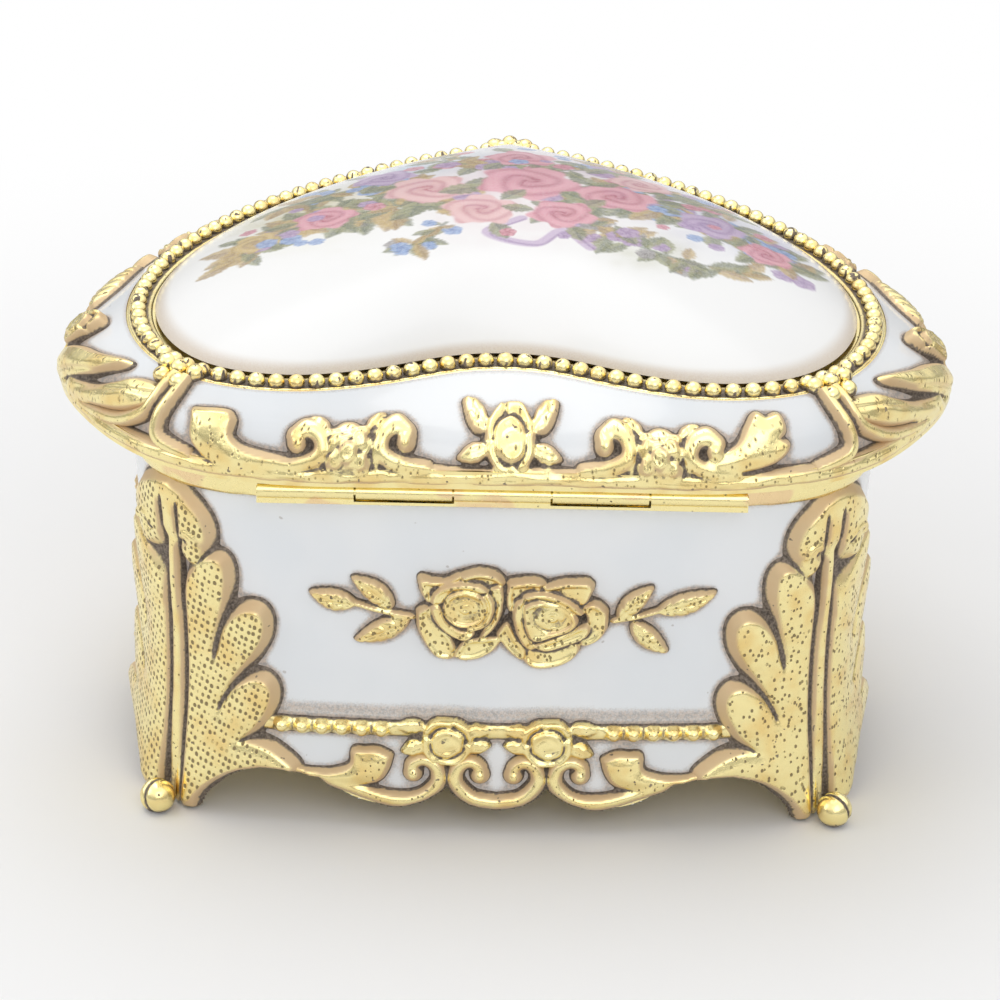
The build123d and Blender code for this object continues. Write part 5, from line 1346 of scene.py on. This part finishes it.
def garland(paint, x, y, path, draw, reach, count, kinds):
    """Leaves and small flowers scattered on both sides of a curved stem."""
    paint = stem_paint(paint, x, y, path, 0.45, OLIVE_DEEP, 0.7)
    rows = spline(path, 12)
    for k in range(count):
        at = rows[int(draw.random() * (len(rows) - 2))]
        side = 1 if k % 2 else -1
        turn = draw.random() * 2 * math.pi
        leaf_hue = (OLIVE, OLIVE_DEEP) if draw.random() < 0.6 else (OCHRE, OCHRE_DEEP)
        long = reach * (0.6 + 0.6 * draw.random())
        paint = leaf_paint(paint, x, y, at, turn, long, long * 0.24, *leaf_hue)
        if k % 3 == 0:
            spot = at + side * reach * 0.45 * np.array([math.cos(turn), math.sin(turn)])
            hue, dark = kinds[int(draw.random() * len(kinds))]
            paint = flower_paint(paint, x, y, spot, reach * (0.24 + 0.14 * draw.random()), hue, dark, 5,
                turn)
    return paint


def garden(x, y):
    """The painted design: a bouquet of roses with garlands along both lobes, on a pale washed ground."""
    paint = np.broadcast_to(np.array(CREAM), (*x.shape, 3)).copy()
    washes = [((-30, 2), 18, (0.66, 0.62, 0.40), 0.75), ((33, 0), 17, (0.50, 0.50, 0.70), 0.8),
        ((2, 8), 24, (0.76, 0.58, 0.62), 0.75), ((-14, 22), 15, (0.50, 0.62, 0.76), 0.8),
        ((17, 22), 13, (0.62, 0.52, 0.66), 0.7), ((20, -16), 9, (0.62, 0.62, 0.50), 0.6)]
    for place, size, colour, strength in washes:
        spread = np.exp(-((x - place[0]) ** 2 + (y - place[1]) ** 2) / (2 * (size * 0.5) ** 2))
        cloud = 0.25 + 1.2 * noise(x + 200, y + 200, 5, 31) * (0.5 + noise(x + 90, y + 90, 1.6, 32))
        veil = np.clip((spread * strength * cloud)[..., None], 0, 0.85)
        paint = paint * (1 - veil) + np.array(colour) * veil
    draw = np.random.default_rng(17)
    kinds = [(SKY, SKY_DEEP), (MAUVE, MAUVE_DEEP), (ROSE_PINK, ROSE_DEEP)]
    garlands = [
        ([(-8, -2), (-20, -4), (-32, -8), (-41, -17)], 8.0, 90, [(OCHRE, OCHRE_DEEP), (MAUVE, MAUVE_DEEP)]),
        ([(8, 0), (22, 0), (35, -5), (43, -15)], 7.5, 90, [(SKY, SKY_DEEP), (MAUVE, MAUVE_DEEP)]),
        ([(-12, 6), (-24, 8), (-36, 6)], 6.5, 50, [(OCHRE, OCHRE_DEEP), (SKY, SKY_DEEP)]),
        ([(14, 8), (26, 10), (37, 6)], 6.5, 50, kinds),
        ([(0, 12), (-10, 22), (-8, 34)], 6.5, 40, kinds),
        ([(4, 12), (15, 20), (14, 33)], 6.5, 40, kinds),
        ([(6, -4), (14, -12), (24, -18), (36, -20)], 6.0, 46, [(GREY, GREY_DEEP), (MAUVE, MAUVE_DEEP)]),
        ([(-16, -20), (-12, -15), (-9, -10)], 4.6, 16, [(GREY, GREY_DEEP), (SKY, SKY_DEEP)]),
    ]
    for path, reach, count, colours in garlands:
        paint = garland(paint, x, y, path, draw, reach, count, colours)
    ribbon = [(2, -8), (-3, -13), (4, -16), (8, -12), (12, -17)]
    paint = stem_paint(paint, x, y, ribbon, 1.0, MAUVE, 0.8)
    paint = stem_paint(paint, x, y, [(a + 0.5, b - 0.4) for a, b in ribbon], 0.35, MAUVE_DEEP, 0.6)
    roses = [((-12, 4), 7.2, 0.3), ((3, 7), 8.6, 1.4), ((16, 3), 6.8, 2.2), ((-4, -5), 6.2, 0.9),
        ((8, -6), 5.6, 2.9), ((-19, 13), 5.4, 0.2), ((20, 13), 5.4, 1.7), ((2, 21), 6.0, 2.0),
        ((-27, -5), 5.2, 1.1), ((30, -3), 5.6, 2.6), ((-37, -10), 4.2, 0.4), ((38, -10), 4.4, 1.9)]
    for k, (place, size, turn) in enumerate(roses):
        hue, dark = (ROSE_PINK, ROSE_DEEP) if k % 3 else ((0.80, 0.50, 0.50), (0.50, 0.15, 0.20))
        if k in (5, 9):
            hue, dark = MAUVE, MAUVE_DEEP
        if k == 10:
            hue, dark = OCHRE, OCHRE_DEEP
        for j in range(3):
            angle = turn + j * 2.1
            spot = (place[0] + 0.75 * size * math.cos(angle), place[1] + 0.75 * size * math.sin(angle))
            paint = leaf_paint(paint, x, y, spot, angle, size * 0.95, size * 0.3, OLIVE, OLIVE_DEEP)
        paint = rose_paint(paint, x, y, place, size, hue, dark, turn)
    for k in range(64):
        spot = np.array([(draw.random() - 0.5) * 80, draw.random() * 54 - 14])
        if abs(spot[0]) < 18 and -10 < spot[1] < 14:
            continue
        paint = flower_paint(paint, x, y, spot, 1.0 + 0.9 * draw.random(), *kinds[k % 3], 5, k)
    return paint


paint = garden(plan[..., 0], plan[..., 1])
# Painted shade: the paint turns tan towards the rim of the dome, where it meets the bead ring.
edge_shade = smooth(0.955, 0.99, share)[None, :, None] * 0.75
paint = paint * (1 - edge_shade) + np.array([0.62, 0.52, 0.42]) * edge_shade
faces = grid_faces(TURNS, RINGS, closed=True)[:, ::-1]
plaque = new_mesh("plaque_dome", points.reshape(-1, 3), faces, None, points[..., :2].reshape(-1, 2),
    paint.reshape(-1, 3))
fitted(plaque, glaze, "lid", "plaque")


# Velvet pads, stuffed by a cloth simulation, and the lining of the tray wall
PAD_VOXEL = 0.0032
PAD_PRESSURE = 4.0


def stuffed(name, node, shrink, cap, pressure):
    """A padded piece: a remeshed copy of a plain pad, swollen by cloth pressure within a cap."""
    source = nodes[node]
    mesh = source.data.copy()
    obj = bpy.data.objects.new(name, mesh)
    bpy.context.scene.collection.objects.link(obj)
    co = places_of(mesh)
    middle = (co.max(0) + co.min(0)) / 2
    half = (co.max(0) - co.min(0)) / 2
    co = middle + (co - middle) * (1 - np.array(shrink) * MM / half)
    mesh.vertices.foreach_set("co", co.astype(np.float32).ravel())
    bpy.context.view_layer.objects.active = obj
    remesh = obj.modifiers.new("remesh", "REMESH")
    remesh.mode, remesh.voxel_size, remesh.use_smooth_shade = "VOXEL", PAD_VOXEL, True
    bpy.ops.object.modifier_apply(modifier="remesh")
    rest = places_of(obj.data)
    cloth = obj.modifiers.new("cloth", "CLOTH")
    cloth.settings.use_pressure = True
    cloth.settings.uniform_pressure_force = pressure
    cloth.settings.effector_weights.gravity = 0
    cloth.settings.quality = 6
    cloth.settings.tension_stiffness = cloth.settings.compression_stiffness = 20
    for step in range(1, 21):
        bpy.context.scene.frame_set(step)
    done = obj.evaluated_get(bpy.context.evaluated_depsgraph_get()).data
    moved = places_of(done)
    obj.modifiers.remove(cloth)
    bpy.context.scene.frame_set(1)
    shift = moved - rest
    far = np.linalg.norm(shift, axis=1, keepdims=True)
    rest = rest + shift * np.minimum(1, cap / np.maximum(far, 1e-9))
    obj.data.vertices.foreach_set("co", rest.astype(np.float32).ravel())
    obj.data.update()
    fine = obj.modifiers.new("smooth", "SUBSURF")
    fine.levels = fine.render_levels = 1
    bpy.ops.object.modifier_apply(modifier="smooth")
    obj.data.polygons.foreach_set("use_smooth", np.ones(len(obj.data.polygons), bool))
    material_of(obj, red_velvet)
    return obj


def settle(obj, low, high):
    """Keeps a soft piece between two heights, where it rests on something flat."""
    co = places_of(obj.data)
    co[:, 2] = np.clip(co[:, 2], low * MM, high * MM)
    obj.data.vertices.foreach_set("co", co.ravel())
    obj.data.update()


floor_low, floor_high = (corner.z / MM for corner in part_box("floor_cushion"))
cushion = stuffed("floor_cushion_velvet", "floor_cushion", (0.9, 0.9, 0.3), 0.0016, PAD_PRESSURE)
settle(cushion, floor_low + 0.02, floor_high + 1.2)
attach(cushion, "case")
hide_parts("floor_cushion")

pad_low, pad_high = (corner.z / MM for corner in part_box("lid_pad"))
lid_cushion = stuffed("lid_pad_velvet", "lid_pad", (0.8, 0.8, 0.4), 0.0012, PAD_PRESSURE)
settle(lid_cushion, pad_low - 1.0, pad_high - 0.02)
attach(lid_cushion, "lid")
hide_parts("lid_pad")

# Lining: a thin padded strip round the tray wall
LINING_OUT, LINING_IN = -2.32, -3.45
lining_low, lining_high = (corner.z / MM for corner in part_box("wall_lining"))
count = 720
s = np.linspace(0, case_wall.length, count, endpoint=False)
levels = np.linspace(1, 0, 15)
ring = [(LINING_OUT, v) for v in np.linspace(0.01, 0.99, 8)]
inner = [(LINING_IN + 0.55 * abs(2 * v - 1) ** 4, v) for v in levels]
profile = ring + inner
puff = 0.10 * np.cos(2 * math.pi * s / (case_wall.length / 48))
columns = []
for out, v in profile:
    high = lining_low + v * (lining_high - lining_low)
    columns.append(case_wall.point(s, np.full(count, high),
        np.full(count, out) - (puff + 0.12 if out < -2.8 else 0)))
columns.append(columns[0])
points = np.stack(columns, 1)
lining = new_mesh("wall_lining_velvet", points.reshape(-1, 3),
    grid_faces(count, len(columns), closed=True)[:, ::-1])
fitted(lining, red_velvet, "case", "wall_lining")

# Softened edges on the machined and cast pieces that stay as the CAD made them
EDGE = 0.00012
for node in ("lid_rim", "case_hinge_leaf", "lid_hinge_leaf", "winding_key", "base_plate"):
    bevel = nodes[node].modifiers.new("edge", "BEVEL")
    bevel.width, bevel.segments, bevel.limit_method = EDGE, 2, "ANGLE"
    bevel.angle_limit = math.radians(40)
    bevel.use_clamp_overlap = True

# Camera at the photograph's angle
ELEVATION = math.radians(25.5)
ROLL = math.radians(1.2)
DISTANCE = 0.560
TARGET = Vector((0.0, -0.0025, 0.034))
FOCAL = 3660
PHOTO = 1000
TARGET_AT = (503, 470)
ahead = Vector((0, math.cos(ELEVATION), -math.sin(ELEVATION)))
right, up = Vector((1, 0, 0)), Vector((0, math.sin(ELEVATION), math.cos(ELEVATION)))
turned_right = right * math.cos(ROLL) + up * math.sin(ROLL)
turned_up = up * math.cos(ROLL) - right * math.sin(ROLL)
lens = bpy.data.cameras.new("camera")
lens.sensor_width = 36.0
lens.lens = FOCAL / PHOTO * 36.0
lens.shift_x = (PHOTO / 2 - TARGET_AT[0]) / PHOTO
lens.shift_y = (TARGET_AT[1] - PHOTO / 2) / PHOTO
lens.clip_end = 20
camera = bpy.data.objects.new("camera", lens)
bpy.context.scene.collection.objects.link(camera)
camera.rotation_mode = "QUATERNION"
camera.matrix_world = Matrix((
    (turned_right.x, turned_up.x, -ahead.x, TARGET.x - ahead.x * DISTANCE),
    (turned_right.y, turned_up.y, -ahead.y, TARGET.y - ahead.y * DISTANCE),
    (turned_right.z, turned_up.z, -ahead.z, TARGET.z - ahead.z * DISTANCE),
    (0, 0, 0, 1),
))
bpy.context.scene.camera = camera

# Pale floor, white surroundings and soft lamps
bpy.ops.mesh.primitive_plane_add(size=12)
floor = bpy.context.object
floor.name = "floor"
made, tree, bsdf = shader("floor", (0.86, 0.86, 0.865), 0.0, 0.6)
glow = add_node(tree, "ShaderNodeEmission", {"Color": (1, 1, 1, 1), "Strength": 1.0})
spot = add_node(tree, "ShaderNodeTexCoord").outputs["Object"]
length = add_node(tree, "ShaderNodeVectorMath", {0: spot}, operation="LENGTH").outputs["Value"]
seen = add_node(tree, "ShaderNodeLightPath")
direct = larger(tree, seen.outputs["Is Camera Ray"], seen.outputs["Is Transmission Ray"])
white = times(tree, ramp(tree, length, 0.07, 0.24), direct)
blend = add_node(tree, "ShaderNodeMixShader", {0: white, 1: bsdf.outputs[0], 2: glow.outputs[0]})
tree.links.new(blend.outputs[0], tree.nodes["Material Output"].inputs["Surface"])
material_of(floor, made)
floor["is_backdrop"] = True

world = bpy.data.worlds.new("world")
bpy.context.scene.world = world
world.use_nodes = True
tree = world.node_tree
backdrop = tree.nodes["Background"]
path = add_node(tree, "ShaderNodeLightPath")
shown = larger(tree, path.outputs["Is Camera Ray"], path.outputs["Is Transmission Ray"])
heading = add_node(tree, "ShaderNodeTexCoord").outputs["Generated"]
rise = add_node(tree, "ShaderNodeSeparateXYZ", {0: heading}).outputs["Z"]
AMBIENT = 0.66
MIRRORED = (0.32, 1.25)
sky = times(tree, ramp(tree, rise, 0.02, 0.55, *MIRRORED), path.outputs["Is Glossy Ray"])
plain = plus(tree, times(tree, shown, 1.0 - AMBIENT), AMBIENT)
plain = times(tree, plain, minus(tree, 1.0, path.outputs["Is Glossy Ray"]))
tree.links.new(plus(tree, plain, sky), backdrop.inputs["Strength"])
backdrop.inputs["Color"].default_value = (1, 1, 1, 1)


def lamp(name, where, target, size, power):
    data = bpy.data.lights.new(name, "AREA")
    data.shape, data.size, data.energy = "SQUARE", size, power
    obj = bpy.data.objects.new(name, data)
    bpy.context.scene.collection.objects.link(obj)
    obj.location = where
    obj.rotation_euler = (Vector(target) - Vector(where)).to_track_quat("-Z", "Y").to_euler()
    return obj


lamp("top", (-0.12, 0.22, 0.95), (0, 0, 0.04), 0.85, 3.2)
lamp("front", (0.25, -0.9, 0.6), (0, 0, 0.03), 0.75, 1.7)
lamp("side", (-0.9, -0.2, 0.5), (0, 0, 0.03), 0.6, 1.2)
bpy.context.scene.view_settings.view_transform = "Standard"

({"cad": [list(corner) for corner in cad_box],
    "visual": [list(corner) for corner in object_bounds()]})
